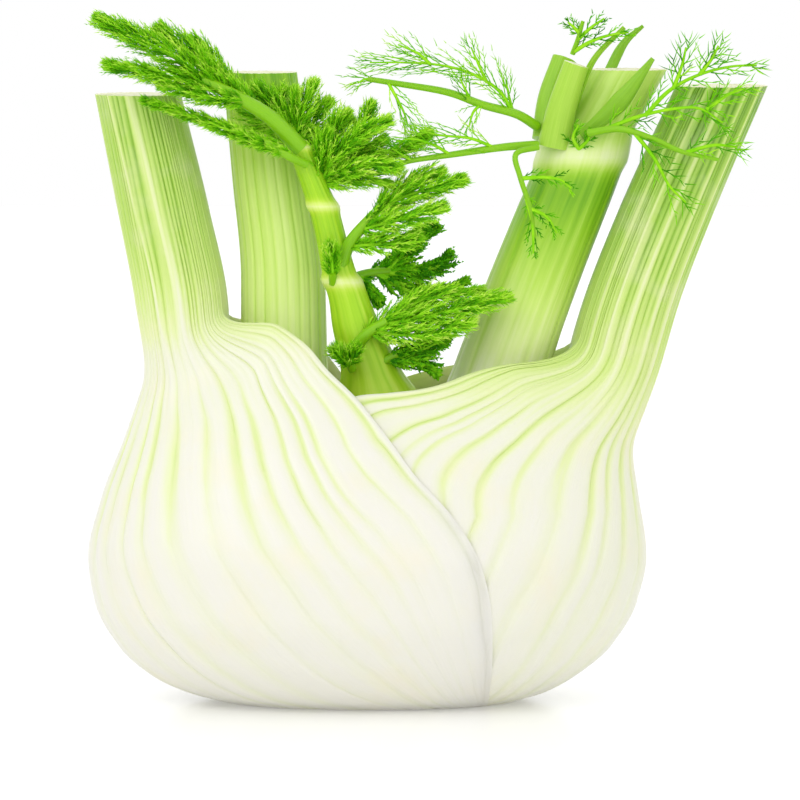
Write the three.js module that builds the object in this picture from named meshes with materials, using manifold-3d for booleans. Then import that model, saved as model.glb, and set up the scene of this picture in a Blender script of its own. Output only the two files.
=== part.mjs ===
// Fennel bulb with four cut stalks, a young leafy shoot and its fronds.
// Millimetres, +Z up. The origin is the centre of the cut root end that the bulb stands on,
// +X is the bulb's right as seen from its broad front, and the front faces -Y.
import * as THREE from "three";
import { mergeVertices } from "three/addons/utils/BufferGeometryUtils.js";
import Module from "manifold-3d";

const wasm = await Module();
wasm.setup();

// Driving dimensions
const CLEARANCE = 0.35;
const CURVE_STEPS = 80;
const BULB = {
  heights: [0, 2, 5.4, 11.8, 21.4, 31, 43.9, 53.6, 63.2, 72.9, 85.7],
  left: [-31.5, -38.8, -46.1, -53.2, -58.3, -59.6, -56.6, -52.9, -49.3, -47.1, -49.3],
  right: [33, 39.4, 45.6, 53.1, 58.7, 60.6, 58.9, 57.6, 60.4, 63.9, 67.5],
  depth: [19, 23.6, 28, 33, 37, 37.5, 34, 29.4, 23.8, 18.4, 14],
};
const BULB_SQUARENESS = 2.2;
const SHEATH_EDGE = 1.4;
const SHEATH_TAPER = { heights: [0, 45, 60, 75], powers: [1.6, 1.4, 1.1, 0.6] };
const SHEATH_STEP = 0.7;
const STEP_SHARPNESS = 4;
const MOST_INSET = 0.6;
const EDGE_FOOT = 1.04;
const STEP_WIDTH = 0.11;
const RIB_DEPTH = 1.1;
const STALK_RIB_DEPTH = 0.55;
// Where a sheath's grooves run, as shares of the way from the leaf's own side to its free edge.
const GROOVES = [0.126, 0.222, 0.3, 0.371, 0.48, 0.58, 0.67, 0.743, 0.795, 0.836, 0.876, 0.929, 0.976];
const CROWN_SHARE = 0.24;
const EDGE_PULL = 2.6;
const NECK_BLEND = { side: 0.36, edge: 0.072 };
const GROWN_REACH = 0.012;
const STALK_WRAP = THREE.MathUtils.degToRad(150);
const SHEATH_ROWS = 12;
const INNER_ARC_STEPS = 14;
const INNER_ARC_MARGIN = 0.06;
const INNER_ARC_INSET = 0.4;

const LEFT_LEAF = {
  turn: 1,
  neck: 84,
  stalk: {
    heights: [58, 70, 85.7, 105, 129.7],
    outer: [-51.5, -47.4, -49.3, -52.9, -57.6],
    inner: [-27, -28, -28.9, -32.8, -38.8],
    halfDepth: [12.6, 11.6, 10.6, 10, 9.2],
    rows: [129.7, 118, 105, 94.5],
  },
  thickness: { heights: [0, 12, 31, 50, 62, 72, 84], middle: [5, 6.5, 8, 10, 13.5, 17, 19] },
  sweep: { heights: [0, 5, 13, 24, 36], amounts: [0.65, 0.56, 0.37, 0.15, 0] },
  frontEdge: [[-27.2, 83], [-19.3, 81.6], [-12.2, 77], [-7.7, 71.9], [-1.5, 66.1], [5.6, 57.4],
    [10.7, 50.6], [18, 42.9], [23.1, 35.1], [25.9, 26.3], [26.8, 12.8], [26, 0]],
  backEdge: [[-27.2, 83], [-18, 80], [-9, 73.5], [-1, 62], [8, 48], [14, 34], [17, 18], [17, 0]],
};
const RIGHT_LEAF = {
  turn: -1,
  neck: 78,
  stalk: {
    heights: [56, 70, 85.7, 105, 133],
    outer: [58.2, 62.9, 67.5, 74.8, 86.6],
    inner: [38, 41.8, 46.3, 53.8, 66.6],
    halfDepth: [13, 12, 11, 10.4, 9.4],
    rows: [131.5, 119, 106, 95, 85.5],
  },
  thickness: { heights: [0, 12, 31, 50, 62, 72, 78], middle: [5, 6.5, 8, 10, 14, 18, 19] },
  sweep: { heights: [0, 5, 12, 20, 30, 42], amounts: [0.8, 0.8, 0.74, 0.6, 0.3, 0] },
  frontEdge: [[41, 74], [35, 73.5], [27, 72.4], [22, 71], [17, 69.2], [12, 68], [5, 67.2], [-3, 66.2],
    [-9, 62], [-12, 54], [-12, 42], [-8, 28], [-3, 13], [0, 0]],
  backEdge: [[41, 74], [33, 73], [24, 71.5], [14, 69.5], [5, 66.5], [-4, 62], [-10, 52], [-14, 38],
    [-12, 18], [-10, 0]],
};

// Each row of an inner leaf: height, middle in X, middle in Y, half width, half depth, rib depth
const LEFT_STALK_ROWS = [
  [7, -16, 0, 10, 8, 0], [14, -22, 0, 18, 15, 0], [31, -26, 0, 20.5, 23, 0], [48, -22.6, 0.4, 17, 18.6, 0],
  [57, -20, 0.8, 13.4, 13.4, 0], [65, -18, 1.2, 10.6, 10, 0.2], [72, -17.4, 1.4, 9.4, 8.2, 0.45],
  [90, -17.6, 3.6, 9.1, 8.2, 0.45], [112, -20, 5.4, 8.6, 7.8, 0.45], [134.4, -22.6, 6.5, 8, 7.2, 0.45],
];
const RIGHT_STALK_ROWS = [
  [7, 17, 0, 10.5, 8, 0], [14, 23, 0, 17, 15, 0], [31, 27, 0, 19.5, 23, 0], [48, 26, 0.2, 17, 19, 0],
  [57, 26.4, 0.4, 14, 13.4, 0], [65, 27.6, 0.6, 11.4, 10.2, 0.2], [73, 29.9, 0.8, 10.4, 8.8, 0.35],
  [90, 36.2, 2.4, 10, 9.4, 0.35], [105, 42.2, 3, 9.8, 9.3, 0.35], [112.5, 45.2, 3, 9.6, 9.2, 0.3],
  [115.5, 46.2, 3, 10.1, 9.7, 0], [119.6, 47.4, 3, 9.7, 9.4, 0], [122, 49, 4, 8.6, 8.4, 0.3],
  [135, 56.2, 5, 8.6, 7.4, 0.35],
];
const STEM_ROWS = [
  [7, 1, 0, 4.4, 7, 0], [20, 1, 0, 4, 14, 0], [44, 1.8, 0, 5.2, 17, 0], [56, 2.8, -0.4, 8, 13, 0],
  [65, 2.8, -1.6, 8.8, 9.4, 0], [71, 1.4, -4, 6.6, 6.2, 0], [80, -1.6, -5.6, 5.3, 4.6, 0],
  [88, -3.9, -6, 4.3, 4, 0], [90.3, -4.9, -6.2, 4.5, 4.2, 0], [92, -5.4, -6.4, 3.7, 3.5, 0],
  [104, -8.2, -7.6, 3.2, 3.1, 0],
  [106, -8.8, -7.9, 3.6, 3.5, 0], [108, -9.6, -8.2, 3.1, 3, 0], [116.5, -13, -9.4, 2.7, 2.6, 0],
  [118.6, -13.9, -9.8, 2.9, 2.8, 0], [120, -14.6, -10, 2.4, 2.3, 0],
];
const STALK_RIBS = 13;
const STEM_RIBS = 4;
// Rings of the root end: height, and how far inside the bulb's surface.
const ROOT_END_RINGS = [[0, 6.5], [2.5, 7.1], [5.4, 8], [6.2, 9.4]];
const ROOT_END_SIDES = 36;

// The photograph is 800 by 800 pixels. Fronds are placed by its columns and rows and a depth in mm.
const PIXEL = 0.2143;
const MIDDLE_COLUMN = 365;
const GROUND_ROW = 700;
const VIEW_RISE = 0.07;
const DENSE_NEEDLE = { core: 0.85, sides: 4, pitch: 2, every: 1, lean: THREE.MathUtils.degToRad(52) };
const THREAD_NEEDLE = { core: 0.5, sides: 3, pitch: 2.2, every: 2, lean: THREE.MathUtils.degToRad(42) };
const NEEDLE_RADIUS = 0.35;
const LEAST_NEEDLE_LEAN = 0.6;
// A needle's lean at its lobe's tip, as a share of the lean at the foot, and how far the tip itself reaches.
const TIP_LEAN_SHARE = 0.4;
const TIP_REACH = 0.6;
// Needle lengths: the part of a half wave that they follow along a lobe, and how much they vary.
const NEEDLE_SWELL = { start: 0.2, run: 0.66, power: 0.6 };
const NEEDLE_VARIATION = { least: 0.8, range: 0.4 };
const LOBE_TAPER = 0.55;
const LIMB_STEP = 9;
const PETIOLE_SIDES = 6;
// Points tried along a needle for room, and how many of them may touch the stem that it grows from.
const ROOM_POINTS = 6;
const FREE_POINTS = 2;
const SEEDS = { shoot: 11, spray: 101 };

const SHOOT_FRONDS = {
  shoot_frond_top_left: {
    petiole: { path: [[302, 152, -11], [272, 122, -13], [241, 103, -14], [206, 86, -14]], radii: [2, 1.2] },
    lobes: [
      { path: [[222, 94, -14], [178, 63, -14.5], [136, 41, -15], [104, 26, -15]], spread: 3.1 },
      { path: [[230, 97, -13.5], [202, 64, -12], [178, 44, -11], [162, 34, -11]], spread: 2.6 },
      { path: [[246, 106, -13], [224, 76, -10], [207, 56, -9], [194, 44, -8]], spread: 2.4 },
      { path: [[216, 91, -14], [172, 83, -16.5], [138, 77, -17], [114, 71, -17]], spread: 2.2 },
    ],
  },
  shoot_frond_low_left: {
    petiole: { path: [[308, 168, -12.4], [290, 160, -14.6], [262, 142, -15.2]], radii: [1, 0.8] },
    lobes: [
      { path: [[272, 144, -14.5], [235, 133, -15.5], [190, 119, -16], [150, 107, -16]], spread: 1.9 },
    ],
  },
  shoot_frond_top: {
    petiole: { path: [[299, 150, -9], [295, 138, -7.6], [292, 128, -6.6]], radii: [1.3, 0.9] },
    lobes: [
      { path: [[294, 136, -7.4], [282, 118, -6.6], [268, 102, -6.4], [256, 90, -6.4]], spread: 2.7 },
      { path: [[295, 140, -7.6], [303, 118, -6.4], [309, 100, -5.6], [314, 86, -5]], spread: 2.5 },
      { path: [[296, 138, -7.6], [276, 128, -8], [256, 120, -8.4], [244, 113, -8.6]], spread: 2 },
    ],
  },
  shoot_frond_upper_right: {
    petiole: { path: [[316, 190, -8.4], [332, 172, -8], [346, 160, -7.4]], radii: [1.4, 1] },
    lobes: [
      { path: [[322, 182, -8.2], [328, 155, -8], [337, 130, -8], [348, 116, -8]], spread: 3 },
      { path: [[330, 174, -8], [352, 158, -6], [370, 148, -5], [384, 143, -4]], spread: 2.8 },
      { path: [[322, 184, -8.2], [345, 182, -9.4], [370, 180, -10], [388, 186, -10]], spread: 2.4 },
    ],
  },
  shoot_frond_right: {
    petiole: { path: [[340, 272, -8], [350, 245, -9.6], [374, 216, -10.6]], radii: [1.6, 1.1] },
    lobes: [
      { path: [[366, 224, -10.4], [400, 201, -11], [435, 190, -11], [462, 182, -11]], spread: 2.8 },
      { path: [[360, 232, -10.2], [388, 225, -13], [414, 220, -14], [442, 209, -14]], spread: 2.5 },
      { path: [[350, 248, -9.4], [374, 246, -11.6], [396, 244, -12.4], [418, 238, -12.4]], spread: 2.2 },
    ],
  },
  shoot_frond_rear: {
    petiole: { path: [[345, 282, -3.4], [366, 274, -1.4], [390, 271, -0.6]], radii: [1.2, 1] },
    lobes: [
      { path: [[386, 272, -0.6], [404, 256, 0], [415, 240, 0], [424, 229, 0]], spread: 2.4 },
      { path: [[384, 272, -0.6], [412, 272, -1], [438, 265, -1], [450, 254, -1]], spread: 2.3 },
      { path: [[378, 273, -1], [408, 290, 0], [438, 292, 0], [466, 282, 0]], spread: 2 },
      { path: [[360, 277, -2], [370, 290, -3], [380, 303, -3.4]], spread: 1.9 },
    ],
  },
  shoot_frond_lower_right: {
    petiole: { path: [[352, 352, -9], [368, 334, -11], [388, 322, -12]], radii: [1.5, 1.1] },
    lobes: [
      { path: [[366, 337, -10.8], [384, 322, -9], [404, 312, -8], [426, 305, -8]], spread: 2.4 },
      { path: [[380, 326, -11.8], [425, 318, -13], [465, 308, -13.6], [506, 299, -13.6]], spread: 2.7 },
      { path: [[372, 332, -11.2], [408, 336, -14], [438, 332, -15], [470, 323, -15]], spread: 2.3 },
    ],
  },
  shoot_frond_low: {
    petiole: { path: [[372, 378, -7], [382, 364, -8], [398, 354, -9]], radii: [1.3, 1] },
    lobes: [
      { path: [[388, 360, -8.4], [406, 360, -9], [424, 364, -9.4], [436, 374, -9.6]], spread: 2.4 },
      { path: [[390, 358, -8.6], [412, 352, -9.4], [430, 346, -9.8], [446, 338, -10]], spread: 2 },
    ],
  },
  shoot_tuft_base: {
    petiole: { path: [[353, 370, -10], [348, 362, -11.4]], radii: [1, 0.9] },
    lobes: [
      { path: [[350, 366, -11], [342, 357, -12.4], [336, 349, -13]], spread: 2.1 },
      { path: [[350, 366, -11], [354, 356, -13], [356, 348, -14]], spread: 1.9 },
    ],
  },
  shoot_tuft_joint: {
    petiole: { path: [[334, 284, -9], [333, 274, -11]], radii: [1, 0.9] },
    lobes: [{ path: [[334, 280, -10], [333, 264, -12], [330, 248, -12.6]], spread: 1.9 }],
  },
};

const JOINT_SPRAYS = {
  spray_upper_left: {
    petiole: {
      path: [[536, 128, -3], [516, 117, -6], [482, 108, -7], [449, 96, -7], [400, 87, -6], [368, 82, -6]],
      radii: [1.1, 0.6],
    },
    lobes: [
      { path: [[512, 116, -6.2], [498, 94, -7], [470, 77, -8], [440, 69, -8], [404, 66, -7], [370, 66, -7]],
        spread: 2.6 },
      { path: [[470, 104, -7], [464, 92, -8], [459, 82, -9]], spread: 1.6 },
      { path: [[430, 68, -8], [418, 58, -9], [398, 49, -9]], spread: 1.5 },
      { path: [[486, 86, -7.6], [478, 70, -9], [470, 52, -10]], spread: 1.4 },
      { path: [[376, 83, -6], [366, 82, -6], [358, 86, -6]], spread: 2 },
      { path: [[388, 85, -6], [396, 100, -8], [404, 116, -9], [408, 130, -9]], spread: 2 },
      { path: [[480, 107, -7], [472, 116, -9], [468, 130, -10]], spread: 1.5 },
      { path: [[512, 116, -6.2], [508, 98, -4], [505, 82, -3]], spread: 1.3 },
    ],
  },
  spray_lower_left: {
    petiole: {
      path: [[536, 147, -6], [504, 150, -9], [449, 158, -10], [410, 164, -10], [388, 170, -9.6]],
      radii: [1, 0.5],
    },
    lobes: [
      { path: [[494, 151, -9.4], [470, 142, -11], [440, 139, -12], [418, 134, -12]], spread: 1.9 },
      { path: [[450, 158, -10], [432, 148, -11.6], [412, 143, -12.6], [396, 146, -13]], spread: 2 },
      { path: [[412, 164, -10], [402, 158, -11], [392, 152, -12]], spread: 1.6 },
    ],
  },
  spray_hanging: {
    petiole: {
      path: [[536, 150, -8.6], [514, 158, -12], [518, 180, -14], [528, 212, -14.6], [532, 240, -14.6]],
      radii: [0.7, 0.5],
    },
    lobes: [
      { path: [[524, 200, -14.4], [530, 226, -14.8], [531, 256, -15]], spread: 2.1 },
      { path: [[519, 182, -14], [540, 181, -15], [558, 184, -15.4], [568, 192, -15.6]], spread: 1.4 },
      { path: [[528, 212, -14.6], [544, 220, -15], [554, 236, -15.4]], spread: 1.4 },
    ],
  },
  spray_right: {
    petiole: {
      path: [[586, 136, -9.6], [616, 133, -13], [645, 142, -15], [676, 156, -16], [712, 164, -16]],
      radii: [0.9, 0.4],
    },
    lobes: [
      { path: [[600, 134, -11.4], [632, 122, -14], [668, 114, -15], [694, 114, -15.4], [716, 128, -15.6]],
        spread: 1.8 },
      { path: [[630, 137, -14], [650, 164, -16], [664, 190, -16.6], [680, 206, -16.6]], spread: 1.9 },
      { path: [[680, 157, -16], [708, 150, -16.6], [730, 152, -17]], spread: 1.7 },
      { path: [[640, 121, -14.2], [664, 96, -14], [694, 80, -13.6], [726, 72, -13.4], [750, 71, -13]],
        spread: 1.8 },
      { path: [[668, 94, -14], [676, 72, -14.4], [680, 54, -15]], spread: 1.4 },
      { path: [[694, 80, -13.6], [706, 64, -14], [712, 52, -14]], spread: 1.3 },
      { path: [[700, 115, -15.4], [722, 100, -15.6], [738, 94, -15.6]], spread: 1.4 },
    ],
  },
  spray_top: {
    petiole: { path: [[571, 56, -2.4], [576, 42, -3.4], [581, 24, -4]], radii: [0.6, 0.45] },
    lobes: [
      { path: [[572, 54, -2.6], [590, 44, -5], [610, 38, -6], [626, 36, -6]], spread: 1.8 },
      { path: [[576, 42, -3.4], [590, 30, -5], [602, 22, -5.6]], spread: 1.6 },
      { path: [[578, 36, -3.6], [572, 30, -4], [566, 25, -4]], spread: 1.3 },
    ],
  },
};

// Cut branches and green blades of the fourth leaf, above its joint: path and radii in X and Y
const BRANCHES = [
  { path: [[545, 140, -1], [550, 100, 1], [564, 59, 3]], radii: [3, 2.7], flat: 0.9, sides: 8 },
  { path: [[552, 148, -4], [560, 110, -5], [574, 67, -6]], radii: [3.2, 2.6], flat: 0.85, sides: 8 },
  { path: [[580, 138, -6], [616, 106, -9], [649, 63, -10]], radii: [1.2, 2.1, 0.5], flat: 0.55, sides: 6 },
  { path: [[596, 110, 6], [612, 66, 12.5], [627, 38, 13], [645, 22, 13]], radii: [1.2, 1.3, 1.1, 0.4],
    flat: 0.7, sides: 6 },
  { path: [[572, 110, -1], [592, 62, -3.6], [622, 30, -4]], radii: [0.9, 0.7, 0.5], flat: 1, sides: 5 },
];

// Colours read from the photograph
const COLOURS = {
  sheath: 0xf0f2d8,
  stalk: 0xb8d878,
  stem: 0xa6cf4e,
  frond: 0x4aa81c,
  rootEnd: 0xe8dfc0,
};
const ROUGHNESS = { sheath: 0.42, stalk: 0.4, frond: 0.5, rootEnd: 0.6 };

const { lerp, smoothstep } = THREE.MathUtils;

// A smooth curve through given points as a function, which never overshoots between them.
function through(knots, values) {
  const last = knots.length - 1;
  const rises = knots.slice(1).map((knot, i) => (values[i + 1] - values[i]) / (knot - knots[i]));
  const slopes = knots.map((_, i) => {
    if (i === 0) return rises[0];
    if (i === last) return rises[last - 1];
    const product = rises[i - 1] * rises[i];
    return product <= 0 ? 0 : (2 * product) / (rises[i - 1] + rises[i]);
  });
  return (place) => {
    const at = THREE.MathUtils.clamp(place, knots[0], knots[last]);
    let i = 0;
    while (i < last - 1 && at > knots[i + 1]) i += 1;
    const span = knots[i + 1] - knots[i];
    const t = (at - knots[i]) / span;
    const ease = t * t * (3 - 2 * t);
    const bow = t * (1 - t);
    const bend = bow * (1 - t) * slopes[i] - bow * t * slopes[i + 1];
    return lerp(values[i], values[i + 1], ease) + span * bend;
  };
}

const bulbLeft = through(BULB.heights, BULB.left);
const bulbRight = through(BULB.heights, BULB.right);
const bulbDepth = through(BULB.heights, BULB.depth);
const taperAt = through(SHEATH_TAPER.heights, SHEATH_TAPER.powers);

function roundPower(value, power) {
  return Math.sign(value) * Math.abs(value) ** power;
}

// A point of the bulb's outer surface, or of one inside it. Angle 0 is the right side, 270 degrees the front.
function bulbSpot(angle, height, inset) {
  const left = bulbLeft(height);
  const right = bulbRight(height);
  const depth = bulbDepth(height);
  const power = 2 / BULB_SQUARENESS;
  const halfWidth = (right - left) / 2 - inset;
  const halfDepth = depth - Math.min(inset, MOST_INSET * depth);
  return new THREE.Vector3(
    (left + right) / 2 + halfWidth * roundPower(Math.cos(angle), power),
    halfDepth * roundPower(Math.sin(angle), power),
    height,
  );
}

// The angle of a place on the bulb's surface, from its X.
function bulbAngle(x, height, front) {
  const left = bulbLeft(height);
  const right = bulbRight(height);
  const across = THREE.MathUtils.clamp((2 * x - left - right) / (right - left), -1, 1);
  const angle = Math.acos(roundPower(across, BULB_SQUARENESS / 2));
  return front ? 2 * Math.PI - angle : angle;
}

// Walks a line on the bulb's surface at an even pace: share 0 is its top, share 1 the root end.
function evenWalk(spots) {
  const places = spots.map(({ angle, height }) => bulbSpot(angle, height, 0));
  const lengths = [0];
  for (let i = 1; i < places.length; i += 1) {
    lengths.push(lengths[i - 1] + places[i].distanceTo(places[i - 1]));
  }
  const total = lengths[lengths.length - 1];
  return (share) => {
    const goal = share * total;
    let i = 0;
    while (i < lengths.length - 2 && lengths[i + 1] < goal) i += 1;
    const t = (goal - lengths[i]) / (lengths[i + 1] - lengths[i]);
    return {
      angle: lerp(spots[i].angle, spots[i + 1].angle, t),
      height: lerp(spots[i].height, spots[i + 1].height, t),
    };
  };
}

// A sheath's free edge: how it runs from the stalk to the root end, and its angle at each height.
function sheathEdge(points, front) {
  const rising = [...points].reverse();
  const xAt = through(rising.map((point) => point[1]), rising.map((point) => point[0]));
  const curve = new THREE.CatmullRomCurve3(points.map(([x, z]) => new THREE.Vector3(x, 0, z)));
  const spots = curve.getPoints(CURVE_STEPS).map((point) => {
    const height = Math.max(point.z, 0);
    return { angle: bulbAngle(point.x, height, front), height };
  });
  return { walk: evenWalk(spots), angleAt: (height) => bulbAngle(xAt(height), height, front) };
}

// Adds to a leaf's dimensions the curves that its shape is worked out from.
function leafCurves(leaf) {
  const toTheLeft = leaf.turn > 0;
  const sides = { front: toTheLeft ? Math.PI : 2 * Math.PI, back: toTheLeft ? Math.PI : 0 };
  const heights = Array.from({ length: CURVE_STEPS + 1 }, (_, i) => leaf.neck * (1 - i / CURVE_STEPS));
  const sideWalk = evenWalk(heights.map((height) => ({ angle: sides.front, height })));
  const { stalk } = leaf;
  return {
    ...leaf,
    sides,
    sideWalk,
    front: sheathEdge(leaf.frontEdge, true),
    back: sheathEdge(leaf.backEdge, false),
    outerAt: through(stalk.heights, stalk.outer),
    innerAt: through(stalk.heights, stalk.inner),
    depthAt: through(stalk.heights, stalk.halfDepth),
    thicknessAt: through(leaf.thickness.heights, leaf.thickness.middle),
    sweepAt: through(leaf.sweep.heights, leaf.sweep.amounts),
  };
}

const leftLeaf = leafCurves(LEFT_LEAF);
const rightLeaf = leafCurves(RIGHT_LEAF);

// How far along, from the leaf's own side (0) to its free edge (1), an angle lies at a height.
function shareToEdge(leaf, angle, height, front) {
  const edge = front ? leaf.front : leaf.back;
  const side = front ? leaf.sides.front : leaf.sides.back;
  return Math.abs(angle - side) / Math.abs(edge.angleAt(height) - side);
}

function sheathThickness(leaf, angle, height, front) {
  const share = Math.min(shareToEdge(leaf, angle, height, front), 1);
  return lerp(leaf.thicknessAt(height), SHEATH_EDGE, share ** taperAt(height));
}

// The first leaf stands a little proud of the bulb along its edge. The second one dips under it.
function surfaceInset(leaf, angle, height, front) {
  const share = shareToEdge(leftLeaf, angle, height, front);
  const proud = SHEATH_STEP * Math.min(share, 1) ** STEP_SHARPNESS;
  if (leaf === leftLeaf) return -proud;
  if (share <= EDGE_FOOT) return sheathThickness(leftLeaf, angle, height, front) - proud + 2 * CLEARANCE;
  const away = (share - EDGE_FOOT) / STEP_WIDTH;
  return (SHEATH_EDGE - SHEATH_STEP + 2 * CLEARANCE) * (1 - smoothstep(away, 0, 1));
}

// One point of a leaf. across runs from the back edge (-1) over the leaf's side (0) to the front edge (1).
// Low down the ribs sweep towards the free edges, to meet under the bulb. A grown leaf is a little wider.
function sheathSpot(leaf, across, down, inward, grow) {
  const front = across >= 0;
  const reach = Math.abs(across);
  const edge = (front ? leaf.front : leaf.back).walk(down);
  const side = front ? leaf.sides.front : leaf.sides.back;
  const height = lerp(leaf.sideWalk(down).height, edge.height, reach ** EDGE_PULL);
  const swept = reach + leaf.sweepAt(height) * reach * (1 - reach);
  const angle = lerp(side, edge.angle, swept * (1 + grow * GROWN_REACH * reach));
  const inset = surfaceInset(leaf, angle, height, front);
  if (!inward) return { angle, height, inset: inset - grow };
  return { angle, height, inset: inset + sheathThickness(leaf, angle, height, front) + grow };
}

function stalkPlace(leaf, turnAngle, height, shrink) {
  const outer = leaf.outerAt(height);
  const inner = leaf.innerAt(height);
  const halfWidth = Math.abs(outer - inner) / 2 - shrink;
  const halfDepth = leaf.depthAt(height) - shrink;
  const angle = leaf.sides.front + leaf.turn * turnAngle;
  return new THREE.Vector3(
    (outer + inner) / 2 + halfWidth * Math.cos(angle),
    halfDepth * Math.sin(angle),
    height,
  );
}

// The columns of a leaf's outer arc, from the back edge to the front edge: a groove at each of the shares,
// and each rib's crown close behind its groove, so that a rib is steep on one side and slopes on the other.
function ribColumns() {
  const half = [{ reach: 0, groove: false }];
  GROOVES.forEach((share, i) => {
    half.push({ reach: share, groove: true });
    half.push({ reach: lerp(share, GROOVES[i + 1] ?? 1, CROWN_SHARE), groove: false });
  });
  half.push({ reach: 1, groove: false });
  const back = half.slice(1).reverse().map(({ reach, groove }) => ({ across: -reach, groove }));
  return [...back, ...half.map(({ reach, groove }) => ({ across: reach, groove }))];
}

const outerColumns = ribColumns();

// One closed ring of a leaf: the ribbed outer arc from back to front, then the inner arc back again.
// down below 0 gives a plain stalk ring at the given height.
function leafRing(leaf, down, stalkHeight, grow) {
  const ring = [];
  const height = down < 0 ? stalkHeight : leaf.sideWalk(down).height;
  const mix = (across) => {
    if (down < 0) return 0;
    return smoothstep(down / lerp(NECK_BLEND.side, NECK_BLEND.edge, across ** 2), 0, 1);
  };
  outerColumns.forEach(({ across, groove }) => {
    const stalkGroove = groove ? STALK_RIB_DEPTH : 0;
    const stalk = stalkPlace(leaf, across * STALK_WRAP, height, stalkGroove - grow);
    const place = sheathSpot(leaf, across, Math.max(down, 0), false, grow);
    const sheath = bulbSpot(place.angle, place.height, place.inset + (groove ? RIB_DEPTH : 0));
    ring.push(stalk.lerp(sheath, mix(across)));
  });
  for (let i = 0; i <= INNER_ARC_STEPS; i += 1) {
    const share = i / INNER_ARC_STEPS;
    const across = 1 - 2 * share;
    const rest = 2 * (Math.PI - STALK_WRAP);
    const turned = STALK_WRAP + lerp(INNER_ARC_MARGIN, 1 - INNER_ARC_MARGIN, share) * rest;
    const stalk = stalkPlace(leaf, turned, height, INNER_ARC_INSET - grow);
    const place = sheathSpot(leaf, across, Math.max(down, 0), true, grow);
    ring.push(stalk.lerp(bulbSpot(place.angle, place.height, place.inset), mix(across)));
  }
  return ring;
}

// A closed solid through rings of the same number of points, with flat ends.
function loft(rings) {
  const count = rings[0].length;
  const positions = rings.flat().flatMap((point) => [point.x, point.y, point.z]);
  const faces = [];
  for (let row = 0; row < rings.length - 1; row += 1) {
    for (let i = 0; i < count; i += 1) {
      const a = row * count + i;
      const b = row * count + ((i + 1) % count);
      faces.push(a, b, b + count, a, b + count, a + count);
    }
  }
  const cap = (ring, start, flip) => {
    const normal = ringNormal(ring);
    const sideways = Math.abs(normal.z) > 0.5 ? new THREE.Vector3(1, 0, 0) : new THREE.Vector3(0, 0, 1);
    const across = new THREE.Vector3().crossVectors(sideways, normal).normalize();
    const along = new THREE.Vector3().crossVectors(normal, across);
    const flat = ring.map((point) => new THREE.Vector2(point.dot(across), point.dot(along)));
    for (const [a, b, c] of THREE.ShapeUtils.triangulateShape(flat, [])) {
      if (flip) faces.push(start + a, start + c, start + b);
      else faces.push(start + a, start + b, start + c);
    }
  };
  cap(rings[0], 0, true);
  cap(rings[rings.length - 1], (rings.length - 1) * count, false);
  return { positions, faces };
}

function ringNormal(ring) {
  const normal = new THREE.Vector3();
  ring.forEach((point, i) => {
    const next = ring[(i + 1) % ring.length];
    normal.x += (point.y - next.y) * (point.z + next.z);
    normal.y += (point.z - next.z) * (point.x + next.x);
    normal.z += (point.x - next.x) * (point.y + next.y);
  });
  return normal.normalize();
}

function volumeOf({ positions, faces }) {
  const corner = (i) => new THREE.Vector3().fromArray(positions, i * 3);
  let volume = 0;
  for (let i = 0; i < faces.length; i += 3) {
    volume += corner(faces[i]).dot(corner(faces[i + 1]).cross(corner(faces[i + 2]))) / 6;
  }
  return volume;
}

// The solid of a closed mesh, turned so that its faces point out.
function solidOf(mesh) {
  let { faces } = mesh;
  if (volumeOf(mesh) < 0) {
    faces = faces.map((_, i) => mesh.faces[i - (i % 3) + [0, 2, 1][i % 3]]);
  }
  return new wasm.Manifold(new wasm.Mesh({
    numProp: 3,
    vertProperties: new Float32Array(mesh.positions),
    triVerts: new Uint32Array(faces),
  }));
}

// The largest body of a solid: fusing and cutting may leave loose scraps.
function mainBody(solid) {
  return solid.decompose().reduce((largest, body) => (body.volume() > largest.volume() ? body : largest));
}

function geometryOf(solid) {
  const mesh = solid.getMesh();
  const geometry = new THREE.BufferGeometry();
  geometry.setAttribute("position", new THREE.BufferAttribute(mesh.vertProperties.slice(), 3));
  geometry.setIndex(new THREE.BufferAttribute(mesh.triVerts.slice(), 1));
  const merged = mergeVertices(geometry, 1e-3);
  merged.computeVertexNormals();
  return merged;
}

const fennel = new THREE.Group();

function addPiece(name, solid, colour, roughness) {
  const material = new THREE.MeshStandardMaterial({ color: colour, roughness, metalness: 0 });
  const mesh = new THREE.Mesh(geometryOf(solid), material);
  mesh.name = name;
  fennel.add(mesh);
}

function leafSolid(leaf, grow) {
  const rings = leaf.stalk.rows.map((height) => leafRing(leaf, -1, height, grow));
  for (let row = 0; row <= SHEATH_ROWS; row += 1) {
    rings.push(leafRing(leaf, row / SHEATH_ROWS, 0, grow));
  }
  return solidOf(loft(rings));
}

// An inner leaf or the stem: rows of rounded outlines, ribbed where the row says so.
function stackSolid(rows, ribs, grow) {
  const count = ribs * 3;
  const rings = rows.map(([height, x, y, halfWidth, halfDepth, ribDepth]) => Array.from(
    { length: count },
    (_, i) => {
      const angle = (2 * Math.PI * i) / count;
      const groove = i % 3 === 0 ? ribDepth : 0;
      return new THREE.Vector3(
        x + (halfWidth - groove + grow) * Math.cos(angle),
        y + (halfDepth - groove + grow) * Math.sin(angle),
        height,
      );
    },
  ));
  return solidOf(loft(rings));
}

function spot([column, row, depth]) {
  const x = (column - MIDDLE_COLUMN) * PIXEL;
  const z = (GROUND_ROW - row) * PIXEL - depth * VIEW_RISE;
  return new THREE.Vector3(x, depth, z);
}

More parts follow.
